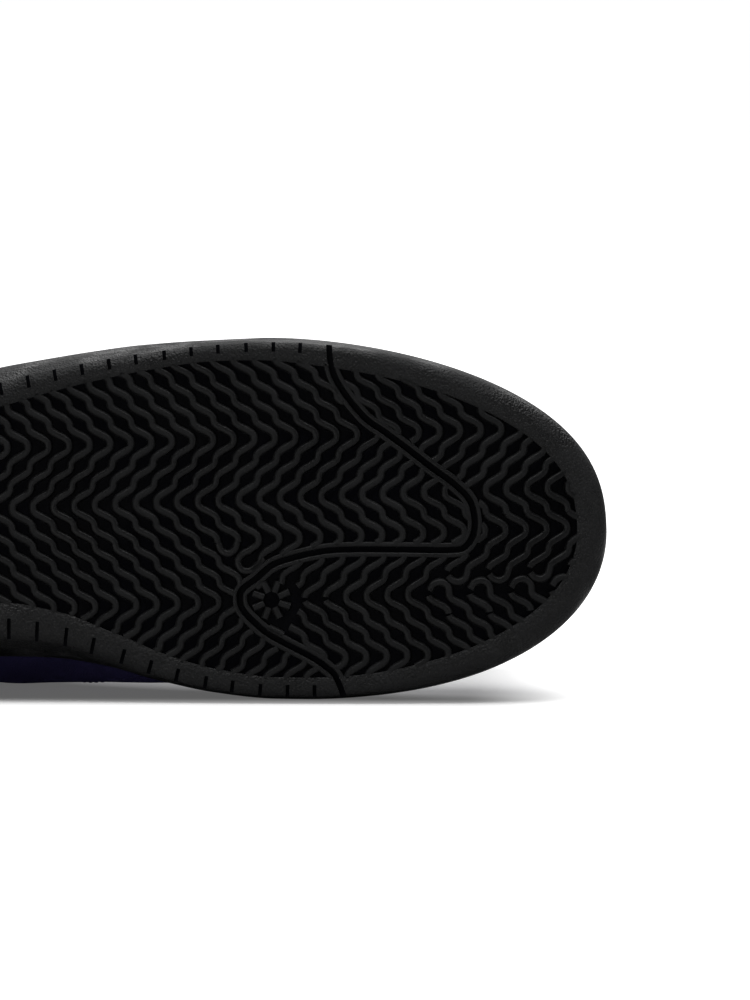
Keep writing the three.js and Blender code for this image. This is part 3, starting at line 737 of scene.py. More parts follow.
def ribLines():
    ahead, behind = [], []
    low, high = -60, 50   # beyond the sole's two edges
    middle = -5           # where the front ribs' two halves meet, short of a turn
    for rib in range(-30, 3):
        behind.append(ribPoints(rearTurns, rib, low, high))
    for rib in range(3, 9):
        behind.append(ribPoints(rearTurns, rib, 18.3, high))
    for rib in range(3, 19):
        upTo = {3: .5, 4: .5, 5: 3}.get(rib, 9)
        behind.append(ribPoints(middleTurns, rib, low, upTo))
    for rib in range(3, 26):
        ahead.append(ribPoints(frontTurns, rib, low, middle))
    for rib in range(7, 26):
        if rib <= 9:      # they end at the star
            again = 22 if rib == 9 else 26.6
            ahead += [ribPoints(frontTurns, rib, middle, 14.5), ribPoints(frontTurns, rib, again, high)]
        elif rib <= 11:   # a slit in the turn
            ahead += [ribPoints(frontTurns, rib, middle, 17.9), ribPoints(frontTurns, rib, 19.1, high)]
        elif rib <= 15:
            ahead.append(ribPoints(frontTurns, rib, middle, high))
        elif rib % 2 == 0:
            ahead += [ribPoints(frontTurns, rib, middle, 11.4), ribPoints(frontTurns, rib, 18.9, 24.3),
                      ribPoints(frontTurns, rib, 25, high)]
        else:             # hooks that end at the slit of the rib before
            near, far = 12., 18.4
            slits = ribRun(frontTurns, rib, np.array([near, far])) - treadLook["pitch"]
            hook = np.array([(6.1, .4), (5.3, 2.2), (3.4, 3.1), (1.3, 2.4), (.3, 1.1)]) + (slits[0], near)
            ahead.append(smoothThrough([*ribPoints(frontTurns, rib, middle, near), *hook]))
            hook = np.array([(.3, -1.1), (1.6, -2.9), (4, -3.5), (5.9, -2.2)]) + (slits[1], far)
            ahead.append(smoothThrough([*hook, *ribPoints(frontTurns, rib, far, high)]))
    hairpins = [
        [(187.6, .5), (187, 2.6), (185, 3.9), (182.9, 3), (181.9, .6)],
        [(191.6, 3.2), (189.2, 4.1), (187.6, 6.2), (188.6, 8.8), (191.3, 9.3), (193.6, 7.6), (195.4, 5.6)],
    ]
    star = []
    centre = np.array(treadLook["starSpot"])
    for degrees in np.arange(22.5, 360, 45):
        ray = np.array([math.cos(math.radians(degrees)), math.sin(math.radians(degrees))])
        star.append(centre + ray * np.array(treadLook["starReach"])[:, None])
    lines = []
    for group, isAhead in ((behind, False), (ahead, True)):
        for line in group:
            keep = isInside(line, fieldEdge) & (isInside(line, aheadOfGroove) == isAhead)
            keep &= awayFrom(line, groove) > treadLook["grooveClear"]
            if isAhead:
                keep &= np.linalg.norm(line - centre, axis=1) > treadLook["starClear"]
            lines += pieces(line, keep)
    return lines + [smoothThrough(line) for line in hairpins] + star


def borderLines():
    # the raised edges along both sides of the groove
    offset = (treadLook["grooveWidth"] + treadLook["borderWidth"]) / 2
    lines = []
    for side in (-1, 1):
        line = groove + grooveAcross * side * offset
        lines += pieces(line, isInside(line, fieldEdge))
    return lines


def onTread(points, height):
    rise = heightAt("rise", points[:, 0] / soleLength)
    return np.column_stack([points, rise + height])


def wireObject(name, lines):
    # lines as the edges of one mesh, for a node tree to follow
    points, edges, start = [], [], 0
    for line in lines:
        points.append(line)
        edges += [(start + i, start + i + 1) for i in range(len(line) - 1)]
        start += len(line)
    mesh = bpy.data.meshes.new(name)
    mesh.from_pydata(np.concatenate(points).tolist(), edges, [])
    obj = bpy.data.objects.new(name, mesh)
    bpy.context.scene.collection.objects.link(obj)
    return obj


def geometryGroup(name, **inputs):
    # a tree that follows an object's edges, with a material input besides its own numbers
    sockets = {"Geometry": ("NodeSocketGeometry", None), "Material": ("NodeSocketMaterial", None)}
    sockets.update({label: (number, value) for label, value in inputs.items()})
    tree, start, end = newGroup(name, sockets, {"Geometry": "NodeSocketGeometry"}, "GeometryNodeTree")
    return tree, start, end, tree.add("GeometryNodeMeshToCurve", Mesh=start.outputs["Geometry"])


def endGroup(tree, start, end, shape):
    real = tree.add("GeometryNodeRealizeInstances", Geometry=first(shape))
    smooth = tree.add("GeometryNodeSetShadeSmooth", Geometry=first(real))
    done = tree.add("GeometryNodeSetMaterial", Geometry=first(smooth), Material=start.outputs["Material"])
    tree.tree.links.new(first(done), end.inputs["Geometry"])
    return tree.tree


def ribTree():
    # sweeps a rounded trapezium along the edges
    tree, start, end, path = geometryGroup("rib sweep", Base=2.5, Top=1.8, Height=2.0, Round=.5)
    path = tree.add("GeometryNodeSetCurveNormal", {"mode": "Z_UP"}, Curve=first(path))
    profile = tree.add("GeometryNodeCurvePrimitiveQuadrilateral", {"mode": "TRAPEZOID"},
                       Height=start.outputs["Height"], Bottom_Width=start.outputs["Base"],
                       Top_Width=start.outputs["Top"], Offset=0.0)
    rounded = tree.add("GeometryNodeFilletCurve", {"mode": "POLY"}, Curve=first(profile), Count=2,
                       Radius=start.outputs["Round"])
    swept = tree.add("GeometryNodeCurveToMesh", Curve=first(path), Profile_Curve=first(rounded),
                     Fill_Caps=True)
    return endGroup(tree, start, end, swept)


def withNodes(obj, group, values):
    # adds a node modifier with its inputs set by socket identifier, and makes the result a plain mesh
    modifier = obj.modifiers.new("nodes", "NODES")
    modifier.node_group = group
    sockets = {item.name: item.identifier for item in group.interface.items_tree
               if item.item_type == "SOCKET" and item.in_out == "INPUT"}
    for name, value in values.items():
        modifier[sockets[name]] = value
    return plainMesh(obj)


def outsoleSlab():
    depth = treadLook["fieldDepth"]

    def ring(extraInset, height):
        return soleRing(lambda s, side: sidewallInset(s, side, height(s)) + extraInset(s, side),
                        lambda s, side: height(s))

    edge = lambda s: heightAt("edge", s)
    rings = [ring(lambda s, side: 0 * s, lambda s: outsoleThickness + gap + 0 * s)]
    for angle in np.linspace(0, math.pi / 2, 7):  # round the tread's outer edge
        rings.append(ring(lambda s, side, share=1 - math.cos(angle): share * edge(s),
                          lambda s, share=1 - math.sin(angle): share * edge(s)))
    soft = .35  # roundness of the rim's inner edge
    rimIn = lambda s, side: rimInset(s, side) - sidewallInset(s, side, 0)
    rings.append(ring(lambda s, side: .5 * edge(s) + .5 * rimIn(s, side), lambda s: 0 * s))
    for inset, height in ((-soft, 0), (-.3 * soft, .3 * soft), (0, soft), (.12, .6 * depth), (.25, depth)):
        rings.append(ring(lambda s, side, inset=inset: rimIn(s, side) + inset,
                          lambda s, height=height: height + 0 * s))
    return fixNormals(makeMesh("outsole_slab", *soleLoft(rings)))


def soleLoft(rings, columns=12):
    # joins sole rings, then fills the first and the last with strips from one side to the other,
    # following the toe spring
    size = len(rings[0])
    points, faces = list(np.concatenate(rings)), loftFaces(len(rings), size)
    half = size // 2
    for start, flip in ((0, True), ((len(rings) - 1) * size, False)):
        grid = []
        for i in range(1, half):
            a, b = points[start + i], points[start + size - i]
            row = [start + i]
            for k in range(1, columns):
                point = a + (b - a) * k / columns
                base = a[2] - heightAt("rise", a[0] / soleLength)
                point[2] = base + heightAt("rise", point[0] / soleLength)
                row.append(len(points))
                points.append(point)
            grid.append(row + [start + size - i])
        quads = [[row[k], after[k], after[k + 1], row[k + 1]]
                 for row, after in zip(grid, grid[1:]) for k in range(columns)]
        quads += [[start, grid[0][k], grid[0][k + 1]] for k in range(columns)]
        quads += [[start + half, grid[-1][k + 1], grid[-1][k]] for k in range(columns)]
        faces += [quad[::-1] if flip else quad for quad in quads]
    return np.array(points), faces


def grooveCutter():
    across, deep = grooveAcross * treadLook["grooveWidth"] / 2, treadLook["grooveDepth"]
    below = -2           # the cutter starts this far outside the tread
    rise = heightAt("rise", groove[:, 0] / soleLength)
    rings = [np.column_stack([groove + side * across, rise + height])
             for side, height in ((1, below), (1, deep), (-1, deep), (-1, below))]
    points = np.stack(rings, 1).reshape(-1, 3)
    return fixNormals(makeMesh("groove_cutter", points, loftFaces(len(groove), 4, closedEnds=True)))


def notchCutter():
    pairs, places = [], np.linspace(.06, .94, 800)
    for side in (medial, lateral):
        inset = sidewallInset(stationOf(places), side, 0)
        edges = solePoint(places, side, inset, 0)
        normals = outwards(places, side)
        for i in range(treadLook["notches"]):
            x = treadLook["firstNotch"] - i * treadLook["notchPitch"]
            k = int(np.abs(edges[:, 0] - x).argmin())
            rim = float(ofSide("Rim", stationOf(places[k]), side))
            outside = normals[k, :2]
            along = np.array([-outside[1], outside[0]]) * treadLook["notchWidth"] / 2
            inner = .95 + (.42 * rim if side > 0 else .3 * rim)
            corners = [edges[k, :2] + along + outside, edges[k, :2] - along + outside,
                       edges[k, :2] - along - outside * inner, edges[k, :2] + along - outside * inner]
            pairs.append([[(*corner, height) for corner in corners]
                          for height in (-1, treadLook["notchDepth"])])
    return prisms("notch_cutter", pairs)


def outsole():
    slab = outsoleSlab()
    slab.data.materials.append(finish["rimRubber"])
    slab.data.materials.append(finish["pitRubberPaintedShade"])
    cut(slab, grooveCutter())
    cut(slab, notchCutter())
    mesh = slab.data
    # painted shade: faces of the sunk field and of the cuts' bottoms take the darkened rubber
    for polygon in mesh.polygons:  # the sunk field and the bottoms of the cuts are darker
        x, _, z = polygon.center
        level = z - float(heightAt("rise", x / soleLength))
        polygon.material_index = 1 if 1.5 < level < 5 and polygon.normal.z < -.9 else 0
    mesh.shade_smooth()
    mesh.set_sharp_from_angle(angle=math.radians(38))
    finishPiece(slab, "tread_rubber", "outsole")

    group = ribTree()
    deep = treadLook["fieldDepth"] + .2
    values = {"Base": treadLook["ribBase"], "Top": treadLook["ribTop"], "Height": deep,
              "Round": treadLook["ribRound"], "Material": finish["treadRubber"]}
    ribs = [onTread(line, deep / 2) for line in ribLines()]
    ahead = [line[:, 0].mean() > treadLook["forefootFrom"] for line in ribs]
    front = wireObject("forefoot_ribs", [line for line, isAhead in zip(ribs, ahead) if isAhead])
    rear = wireObject("heel_ribs", [line for line, isAhead in zip(ribs, ahead) if not isAhead])
    borders = wireObject("groove_edges", [onTread(line, deep / 2) for line in borderLines()])
    for wire in (front, rear):
        finishPiece(withNodes(wire, group, values), "tread_rubber", "outsole")
    values.update({"Base": treadLook["borderWidth"] + .3, "Top": treadLook["borderWidth"] - .1, "Round": .35})
    finishPiece(withNodes(borders, group, values), "tread_rubber", "outsole")
    print("4 outsole:", len(ribs), "ribs,", len(front.data.polygons) + len(rear.data.polygons), "rib faces")


outsole()


# Sidewall: a rubber cup with a stitched channel under its rim
cupLook = {
    "channelBelow": 5.2, "channelWidth": 2.2, "channelDepth": .9,
    "stitchPitch": 4.6, "stitchLength": 3.6, "stitchRadius": .45,
}


def sidewallCup():
    rim = lambda s: heightAt("rim", s)
    bed = lambda s: heightAt("bed", s)
    low = outsoleThickness + gap
    below, width, deep = (cupLook[key] for key in ("channelBelow", "channelWidth", "channelDepth"))
    profile = []  # inset beyond the sidewall's own, and height
    for share in np.linspace(0, 1, 9):
        profile.append((0, lambda s, share=share: low + (rim(s) - below - width - low) * share))
    for extra, drop in ((.1, below + .9 * width), (deep, below + .75 * width), (deep, below + .25 * width),
                        (.1, below + .1 * width), (0, below - .3), (0, 2.6)):
        profile.append((extra, lambda s, drop=drop: rim(s) - drop))
    for angle in np.linspace(0, math.pi / 2, 6)[1:]:
        profile.append((gap + cupEdgeRound * (1 - math.cos(angle)),
                        lambda s, angle=angle: rim(s) - cupEdgeRound * (1 - math.sin(angle))))
    profile += [(cupWall - .8, rim), (cupWall - .2, lambda s: rim(s) - .25), (cupWall, lambda s: rim(s) - .9),
                (cupWall, bed)]
    rings = [soleRing(lambda s, side, e=extra, h=height: sidewallInset(s, side, h(s)) + e,
                      lambda s, side, h=height: h(s)) for extra, height in profile]
    cup = fixNormals(makeMesh("sidewall", *soleLoft(rings), finish["sidewallRubber"]))
    cup.data.set_sharp_from_angle(angle=math.radians(50))
    finishPiece(cup, "sidewall_rubber", "midsole")
    print("5 sidewall cup made")


sidewallCup()

# Upper: a suede shell from the cup to the collar, with panels laid over it
upperLook = {
    "panelThick": 1.2, "panelSunk": .7,  # above the shell's face, and below it
    "creaseDepth": 2.0, "creaseWidth": 3.2, "creaseBow": 2.2,
    "creaseAbove": 22,       # no crease below this height
    "stayWidth": 21, "guardRise": 15, "counterRise": 34,
    "stitchLength": 2.5, "stitchPitch": 3.3, "stitchRadius": .36, "stitchInset": 2.2, "rowApart": 2.4,
    "cordRadius": .62, "collarRoll": 7.5, "collarDepth": 38,
}
wallSteps = 300
downSteps = np.arange(0, 181, 1.0)  # millimetres down the wall from its top edge
creaseLines = [                     # where the vamp folds at the ball: two ends, in plan
    ((196, 46), (203, 4)), ((203, -1), (199, -50)), ((212, 42), (209, 8)), ((214, -4), (211, -47)),
    ((186, 47), (190, 26)), ((188, -32), (185, -54)), ((60, 40), (74, 37)), ((52, -38), (70, -40)),
]


def wallSide(side, places):
    # the outer face from its top edge down to the bed of the cup
    foot = stationOf(places)
    at = {name: read(sections, "foot", name, foot) for name in sections}
    bend = solePoint(places, side, cupWall + gap + 0 * foot, heightAt("rim", foot) + 2 * gap)
    hem = solePoint(places, side, cupWall + gap + 0 * foot, heightAt("bed", foot) + gap)
    name = "medial" if side > 0 else "lateral"
    edge = np.stack([at["top"] * soleLength, side * at[name], at["height"]], -1)
    reach = (at["full"] * np.linalg.norm(edge - bend, axis=1))[:, None]
    lean, fall = (np.radians(at[key])[:, None] for key in (name + "Lean", "fall"))
    outside, up = outwards(places, side), np.array([0, 0, 1.0])
    nearEdge = edge + outside * reach * np.cos(fall) - up * reach * np.sin(fall)
    nearBend = bend + outside * reach * np.sin(lean) + up * reach * np.cos(lean)
    s = np.linspace(0, 1, 61)[None, :, None]
    edge, nearEdge, nearBend, low = (points[:, None] for points in (edge, nearEdge, nearBend, bend))
    curve = (edge * (1 - s) ** 3 + 3 * nearEdge * s * (1 - s) ** 2 + 3 * nearBend * s ** 2 * (1 - s)
             + low * s ** 3)
    inCup = np.stack([bend + (hem - bend) * k / 6 for k in range(1, 7)], 1)
    return np.concatenate([curve, inCup], 1)


ringPlaces = np.linspace(0, 1, wallSteps + 1)
wallRing = np.concatenate([wallSide(medial, ringPlaces)[:-1], wallSide(lateral, ringPlaces)[::-1][:-1]])
alongWall = np.roll(wallRing, -1, 0) - np.roll(wallRing, 1, 0)
wallNormals = unit(np.cross(alongWall, np.gradient(wallRing, axis=1)))
wallLengths = np.concatenate([np.zeros((2 * wallSteps, 1)),
                              np.linalg.norm(np.diff(wallRing, axis=1), axis=2).cumsum(1)], 1)
wallDepth = wallLengths[:, 60]  # down to the rim of the cup


def byDistance(values):
    return np.array([[np.interp(downSteps, lengths, row[:, k]) for k in range(3)]
                     for lengths, row in zip(wallLengths, values)]).transpose(0, 2, 1)


wallPoints, wallOut = byDistance(wallRing), unit(byDistance(wallNormals))


def creased(points):
    # how far the folds move the surface outwards
    depth, width = upperLook["creaseDepth"], upperLook["creaseWidth"]
    points = np.asarray(points)
    lift = np.zeros(points.shape[:-1])
    for start, end in creaseLines:
        start, run = np.array(start, float), np.subtract(end, start).astype(float)
        length = np.linalg.norm(run)
        toPoint = points[..., :2] - start
        share = (toPoint @ run) / length ** 2
        bow = upperLook["creaseBow"] * np.sin(np.pi * np.clip(share, 0, 1))
        away = (toPoint[..., 0] * run[1] - toPoint[..., 1] * run[0]) / length - bow
        fade = np.clip(1 - np.abs(2 * share - 1) ** 3, 0, 1) * (points[..., 2] > upperLook["creaseAbove"])
        trough = -np.exp(-(away / width) ** 2)
        ridge = .5 * (np.exp(-((away - 2 * width) / width) ** 2) + np.exp(-((away + 2 * width) / width) ** 2))
        lift += depth * fade * (trough + ridge)
    return lift


def onWall(turn, down, lift=0.0):
    # turn goes from 0 at the heel along the medial side to 1 at the toe, and to 2 back along the other
    turn, down = np.broadcast_arrays(np.asarray(turn, float), np.asarray(down, float))
    at = (turn % 2) * wallSteps
    column = np.floor(at).astype(int)
    across = (at - column)[..., None]
    down = np.clip(down, 0, downSteps[-1] - 1e-6)
    row = np.floor(down).astype(int)
    below = (down - row)[..., None]
    column, after = column % len(wallPoints), (column + 1) % len(wallPoints)
    point, normal = ((grid[column, row] * (1 - below) + grid[column, row + 1] * below) * (1 - across)
                     + (grid[after, row] * (1 - below) + grid[after, row + 1] * below) * across
                     for grid in (wallPoints, wallOut))
    return point + unit(normal) * (lift + creased(point))[..., None]


def depthAt(turn):
    at = (np.asarray(turn) % 2) * wallSteps
    return np.interp(at, np.arange(2 * wallSteps + 1), [*wallDepth, wallDepth[0]])


def throatHalf(place):
    return read(sections, "foot", "medial", stationOf(place))


def instep(place, distance):
    # over the instep at a signed distance from the middle: the throat's crown, or the wall beyond it
    place, distance = np.broadcast_arrays(np.asarray(place, float), np.asarray(distance, float))
    foot = stationOf(place)
    at = {name: read(sections, "foot", name, foot) for name in ("top", "height", "fall")}
    half, away = throatHalf(place), np.abs(distance)
    crown = half * np.tan(np.radians(at["fall"])) / 2 * (1 - (away / np.maximum(half, 1e-6)) ** 2)
    inside = np.stack([at["top"] * soleLength, distance, at["height"] + crown], -1)
    beyond = onWall(np.where(distance < 0, 2 - place, place), np.maximum(away - half, 0))
    return np.where((away >= half)[..., None], beyond, inside)


def overInstep(place, distance, lift):
    along = instep(place + nudge, distance) - instep(place - nudge, distance)
    across = instep(place, distance + 1) - instep(place, distance - 1)
    normal = unit(np.cross(along, across))
    return instep(place, distance) + normal * np.asarray(lift)[..., None], normal


eyeletPlaces = np.linspace(placeOf(firstEyelet), placeOf(lastEyelet), eyeletPairs)
eyeletSpots = [(place, side * float(throatHalf(place) + eyeletSetback))
               for place in eyeletPlaces for side in (medial, lateral)]


def eyeletCircle(spot, lift, radius, steps):
    middle, normal = (value[0] for value in overInstep(*np.array(spot)[:, None], lift))
    across = unit(np.cross(normal, (1, 0, 0)))
    other = np.cross(normal, across)
    angle = 2 * np.pi * np.arange(steps)[:, None] / steps
    return middle + (across * np.cos(angle) + other * np.sin(angle)) * radius


def eyeletCutter():
    under, over = -5, 4  # past the shell and its panels
    return prisms("eyelet_cutter", [[eyeletCircle(spot, lift, eyeletRadius, 20) for lift in (under, over)]
                                    for spot in eyeletSpots])


def upperShell():
    columns = np.arange(0, 2 * wallSteps, 2)
    rows = [0, 1, 2, *range(4, 61, 3), 60, 63, 66]
    face, outside = wallRing[columns][:, rows], wallNormals[columns][:, rows]
    moved = creased(face)[..., None] * outside
    outer, inner = face + moved, face + moved - outside * upperWall
    inner[:, -2:, 2] = outer[:, -2:, 2]
    middle = (outer[:, 0] + inner[:, 0]) / 2
    middle[:, 2] += .6
    count = len(columns)
    # ahead of the throat both sides' top edges lie on the middle line, and share their points
    mirror = (count - np.arange(count)) % count
    seam = np.abs(wallRing[columns][:, 0, 1]) < 1e-6
    seam[0] = False
    for rowPoints in (outer[:, 0], inner[:, 0], middle):
        rowPoints[seam] = (rowPoints[seam] + rowPoints[mirror[seam]] * (1, -1, 1)) / 2
        rowPoints[seam, 1] = 0
    ids = np.arange(count * len(rows)).reshape(count, len(rows))
    outerIds, innerIds, middleIds = ids.copy(), ids + ids.size, np.arange(count) + 2 * ids.size
    onLateral = seam & (np.arange(count) > count // 2)
    for grid in (outerIds, innerIds):
        grid[onLateral, 0] = grid[mirror[onLateral], 0]
    middleIds[onLateral] = middleIds[mirror[onLateral]]
    faces = []
    for i in range(count):
        n = (i + 1) % count
        for j in range(len(rows) - 1):
            faces.append([outerIds[i, j], outerIds[n, j], outerIds[n, j + 1], outerIds[i, j + 1]])
            faces.append([innerIds[i, j + 1], innerIds[n, j + 1], innerIds[n, j], innerIds[i, j]])
        faces.append([outerIds[i, -1], outerIds[n, -1], innerIds[n, -1], innerIds[i, -1]])
        if not (seam[i] and seam[n]):
            faces.append([middleIds[i], middleIds[n], outerIds[n, 0], outerIds[i, 0]])
            faces.append([innerIds[i, 0], innerIds[n, 0], middleIds[n], middleIds[i]])
    points = np.concatenate([outer.reshape(-1, 3), inner.reshape(-1, 3), middle])
    made = makeMesh("upper_shell", points, [list(dict.fromkeys(face)) for face in faces], finish["suede"])
    return fixNormals(made)


def patch(name, us, ws, place, material):
    # a thin closed panel: place(u, w, share) gives its points, share running from sunk to full height
    spread = lambda values: np.concatenate([[0, 0, .004], values[1:-1], [.996, 1, 1]])
    u, w = np.meshgrid(spread(us), spread(ws), indexing="ij")
    share = np.ones(u.shape)
    share[[1, -2]] = share[:, [1, -2]] = .7
    share[[0, -1]] = share[:, [0, -1]] = 0
    top = place(u, w, share)
    low = place(u, w, np.zeros(u.shape))
    count = u.shape
    ids = np.arange(u.size).reshape(count)
    under = ids + u.size
    under[[0, -1]], under[:, [0, -1]] = ids[[0, -1]], ids[:, [0, -1]]
    faces = []
    for i in range(count[0] - 1):
        for j in range(count[1] - 1):
            faces.append([ids[i, j], ids[i + 1, j], ids[i + 1, j + 1], ids[i, j + 1]])
            faces.append([under[i, j + 1], under[i + 1, j + 1], under[i + 1, j], under[i, j]])
    used = sorted({v for face in faces for v in face})
    order = {v: k for k, v in enumerate(used)}
    points = np.concatenate([top.reshape(-1, 3), low.reshape(-1, 3)])[used]
    return fixNormals(makeMesh(name, points, [[order[v] for v in face] for face in faces], material))


def wallPatch(name, start, end, top, bottom, columns, rows):
    thick, sunk = upperLook["panelThick"], upperLook["panelSunk"]

    def place(u, w, share):
        turn = start + (end - start) * u
        down = top(turn) + (bottom(turn) - top(turn)) * w
        return onWall(turn, down, -sunk + (thick + sunk) * share)

    return patch(name, np.linspace(0, 1, columns), np.linspace(0, 1, rows), place, finish["suede"])


def stitchTree():
    # lays a stitch at every pitch along the edges
    tree, start, end, path = geometryGroup("stitch row", Pitch=3.3, Length=2.5, Radius=.36)
    spots = tree.add("GeometryNodeCurveToPoints", {"mode": "LENGTH"}, Curve=first(path),
                     Length=start.outputs["Pitch"])
    ball = tree.add("GeometryNodeMeshUVSphere", Segments=8, Rings=5, Radius=1.0)
    half = maths(tree, "MULTIPLY", start.outputs["Length"], .5)
    scale = tree.add("ShaderNodeCombineXYZ", X=start.outputs["Radius"], Y=start.outputs["Radius"], Z=half)
    laid = tree.add("GeometryNodeInstanceOnPoints", Points=out(spots, "Points"), Instance=first(ball),
                    Rotation=out(spots, "Rotation"), Scale=first(scale))
    return endGroup(tree, start, end, laid)


def cordTree():
    # a round cord along the edges
    tree, start, end, path = geometryGroup("round cord", Radius=.6)
    ring = tree.add("GeometryNodeCurvePrimitiveCircle", Resolution=8, Radius=start.outputs["Radius"])
    swept = tree.add("GeometryNodeCurveToMesh", Curve=first(path), Profile_Curve=first(ring), Fill_Caps=True)
    return endGroup(tree, start, end, swept)


stitches, cords = stitchTree(), cordTree()
stitchSizes = {"Pitch": upperLook["stitchPitch"], "Length": upperLook["stitchLength"],
               "Radius": upperLook["stitchRadius"], "Material": finish["thread"]}
throatEnd = placeOf(.7)
stayEnd, stayStart = placeOf(.735), placeOf(.405)
guardStart, counterEnd = placeOf(.66), placeOf(.25)


def stayBottom(turn):
    # the eyestay widens towards the collar and rounds off in front of the throat
    place = np.where(turn > 1, 2 - turn, turn)
    share = np.clip((place - stayStart) / (stayEnd - stayStart), 0, 1)
    return upperLook["stayWidth"] * (1.15 - .25 * share) * np.sqrt(np.clip(1 - share ** 7, .05, 1))


def guardTop(turn):
    # the toe guard stands higher at the tip than along the sides
    share = np.clip(1 - np.abs(turn - 1) / (1 - guardStart), 0, 1)
    rise = upperLook["guardRise"] * (.12 + .88 * np.sin(np.pi / 2 * share) ** .8)
    return depthAt(turn) - rise


def counterTop(turn):
    around = np.where(turn % 2 > 1, 2 - turn % 2, turn % 2)
    share = np.clip(1 - around / counterEnd, 0, 1)
    rise = upperLook["counterRise"] * (.3 + .7 * np.sin(np.pi / 2 * share) ** .7)
    return depthAt(turn) - rise


def cupLine(turn):
    return depthAt(turn) + 1.5


def upper():
    shell = cut(upperShell(), eyeletCutter())
    finishPiece(shell, "suede", "upper")
    panels = []
    zero = lambda turn: 0 * turn + .15
    for side, name in ((medial, "medial_eyestay"), (lateral, "lateral_eyestay")):
        ends = (stayStart, stayEnd) if side > 0 else (2 - stayEnd, 2 - stayStart)
        stay = cut(wallPatch(name, *ends, zero, stayBottom, 110, 16), eyeletCutter())
        panels.append(finishPiece(stay, "suede", "upper"))
    guard = wallPatch("toe_guard", guardStart, 2 - guardStart, guardTop, cupLine, 150, 12)
    counter = wallPatch("heel_counter", -counterEnd, counterEnd, counterTop, cupLine, 120, 16)
    panels += [finishPiece(panel, "suede", "upper") for panel in (guard, counter)]
    rows, apart, inset = [], upperLook["rowApart"], upperLook["stitchInset"]
    lift = upperLook["panelThick"] + .1
    for offset in (inset, inset + apart):
        for ends in ((stayStart + .004, stayEnd - .012), (2 - stayEnd + .012, 2 - stayStart - .004)):
            turn = np.linspace(*ends, 240)
            rows.append(onWall(turn, np.maximum(stayBottom(turn) - offset, 1.5), lift))
        turn = np.linspace(guardStart + .006, 2 - guardStart - .006, 500)
        rows.append(onWall(turn, guardTop(turn) + offset, lift))
        turn = np.linspace(-counterEnd + .006, counterEnd - .006, 400)
        rows.append(onWall(turn, counterTop(turn) + offset, lift))
    for ends in ((stayStart, throatEnd - .01), (2 - throatEnd + .01, 2 - stayStart)):
        turn = np.linspace(*ends, 240)
        rows.append(onWall(turn, 2.4, lift))
    turn = np.linspace(-stayStart, stayStart, 500)
    rows.append(onWall(turn, 3.2, .1))
    for side in (medial, lateral):  # the seam from the eyestay down to the cup
        down = np.linspace(22, 62, 80)
        place = placeOf(.43) + .0016 * (down - 22)
        turn = place if side > 0 else 2 - place
        rows.append(onWall(turn, down, -.1)[down < depthAt(turn) - 1])
    row = withNodes(wireObject("upper_stitches", rows), stitches, stitchSizes)
    finishPiece(row, "thread", "upper")
    rings = [eyeletCircle(spot, lift, eyeletRadius + .25, 28) for spot in eyeletSpots]
    rings = [np.concatenate([ring, ring[:1]]) for ring in rings]
    cordSizes = {"Radius": upperLook["cordRadius"], "Material": finish["thread"]}
    ring = withNodes(wireObject("eyelet_cords", rings), cords, cordSizes)
    finishPiece(ring, "thread", "upper")
    print("6 upper: shell,", len(panels), "panels,", len(row.data.polygons) // 40, "stitches")


def gridMesh(name, grid, cloth, material):
    # a closed tube of rings with caps; cloth gives the weave's place in millimetres
    rings, size = grid.shape[:2]
    made = makeMesh(name, grid.reshape(-1, 3), loftFaces(rings, size, closedEnds=True), material)
    setClothMap(made, cloth)
    return fixNormals(made)


def clothOver(grid):
    # distances along and across a grid of points
    across, along = np.zeros(grid.shape[:2]), np.zeros(grid.shape[:2])
    across[:, 1:] = np.linalg.norm(np.diff(grid, axis=1), axis=2).cumsum(1)
    along[1:] = np.linalg.norm(np.diff(grid, axis=0), axis=2).cumsum(0)
    return np.stack([across, along], -1)


def collarPad():
    # the padded roll round the ankle, inside the shell and just over its edge
    end = placeOf(.43)  # where the pad runs out, beside the throat
    turn = np.linspace(-end, end, 240)
    angle = np.linspace(0, 2 * np.pi, 41)[:-1]
    share = (1 - np.cos(angle)) / 2              # 0 at the top of the pad, 1 at its foot
    inside = np.sin(angle) > 0
    ends = np.clip((end - np.abs(turn)) / .05, 0, 1) ** .5
    roll = upperLook["collarRoll"] * (.35 + .65 * ends)
    deep = upperLook["collarDepth"]
    crown = np.sqrt(np.clip(1 - (2 * share - 1) ** 2, 0, 1)) * (1 - .45 * share)
    channel = 1 - .28 * np.exp(-((share - .42) / .05) ** 2)
    down = -1.2 + deep * share
    over = np.clip(1 - share * 9, 0, 1)          # the part that rolls over the shell's edge
    rings = []
    for at, swell in zip(turn, roll):
        inner = -upperWall - .25 - np.where(inside, swell * crown * channel, 0)
        ring = onWall(at, np.maximum(down, 0), inner + over * .6)
        ring[:, 2] += np.where(down < 0, -down * 1.2, 0) + over * 1.2
        rings.append(ring)
    grid = np.array(rings)
    pad = gridMesh("collar_pad", grid, clothOver(grid), finish["lining"])
    finishPiece(pad, "lining", "upper")


def liningShell():
    # a thin lining against the shell's inner face
    columns = np.arange(0, 2 * wallSteps, 3)
    downs = np.linspace(0, 1, 22)
    rings = []
    for i in columns:
        down = 3 + (wallLengths[i, -1] - 6) * downs
        turn = i / wallSteps
        outer = onWall(turn, down, -upperWall - .15)
        inner = onWall(turn, down[::-1], -upperWall - .9)
        rings.append(np.concatenate([outer, inner]))
    grid = np.array(rings)
    faces = np.array(loftFaces(len(grid) + 1, grid.shape[1])) % (grid.size // 3)  # closes on its first ring
    made = makeMesh("lining", grid.reshape(-1, 3), faces, finish["lining"])
    setClothMap(made, clothOver(grid))
    finishPiece(fixNormals(made), "lining", "upper")


upper()
collarPad()
liningShell()
print("7 collar pad and lining made")


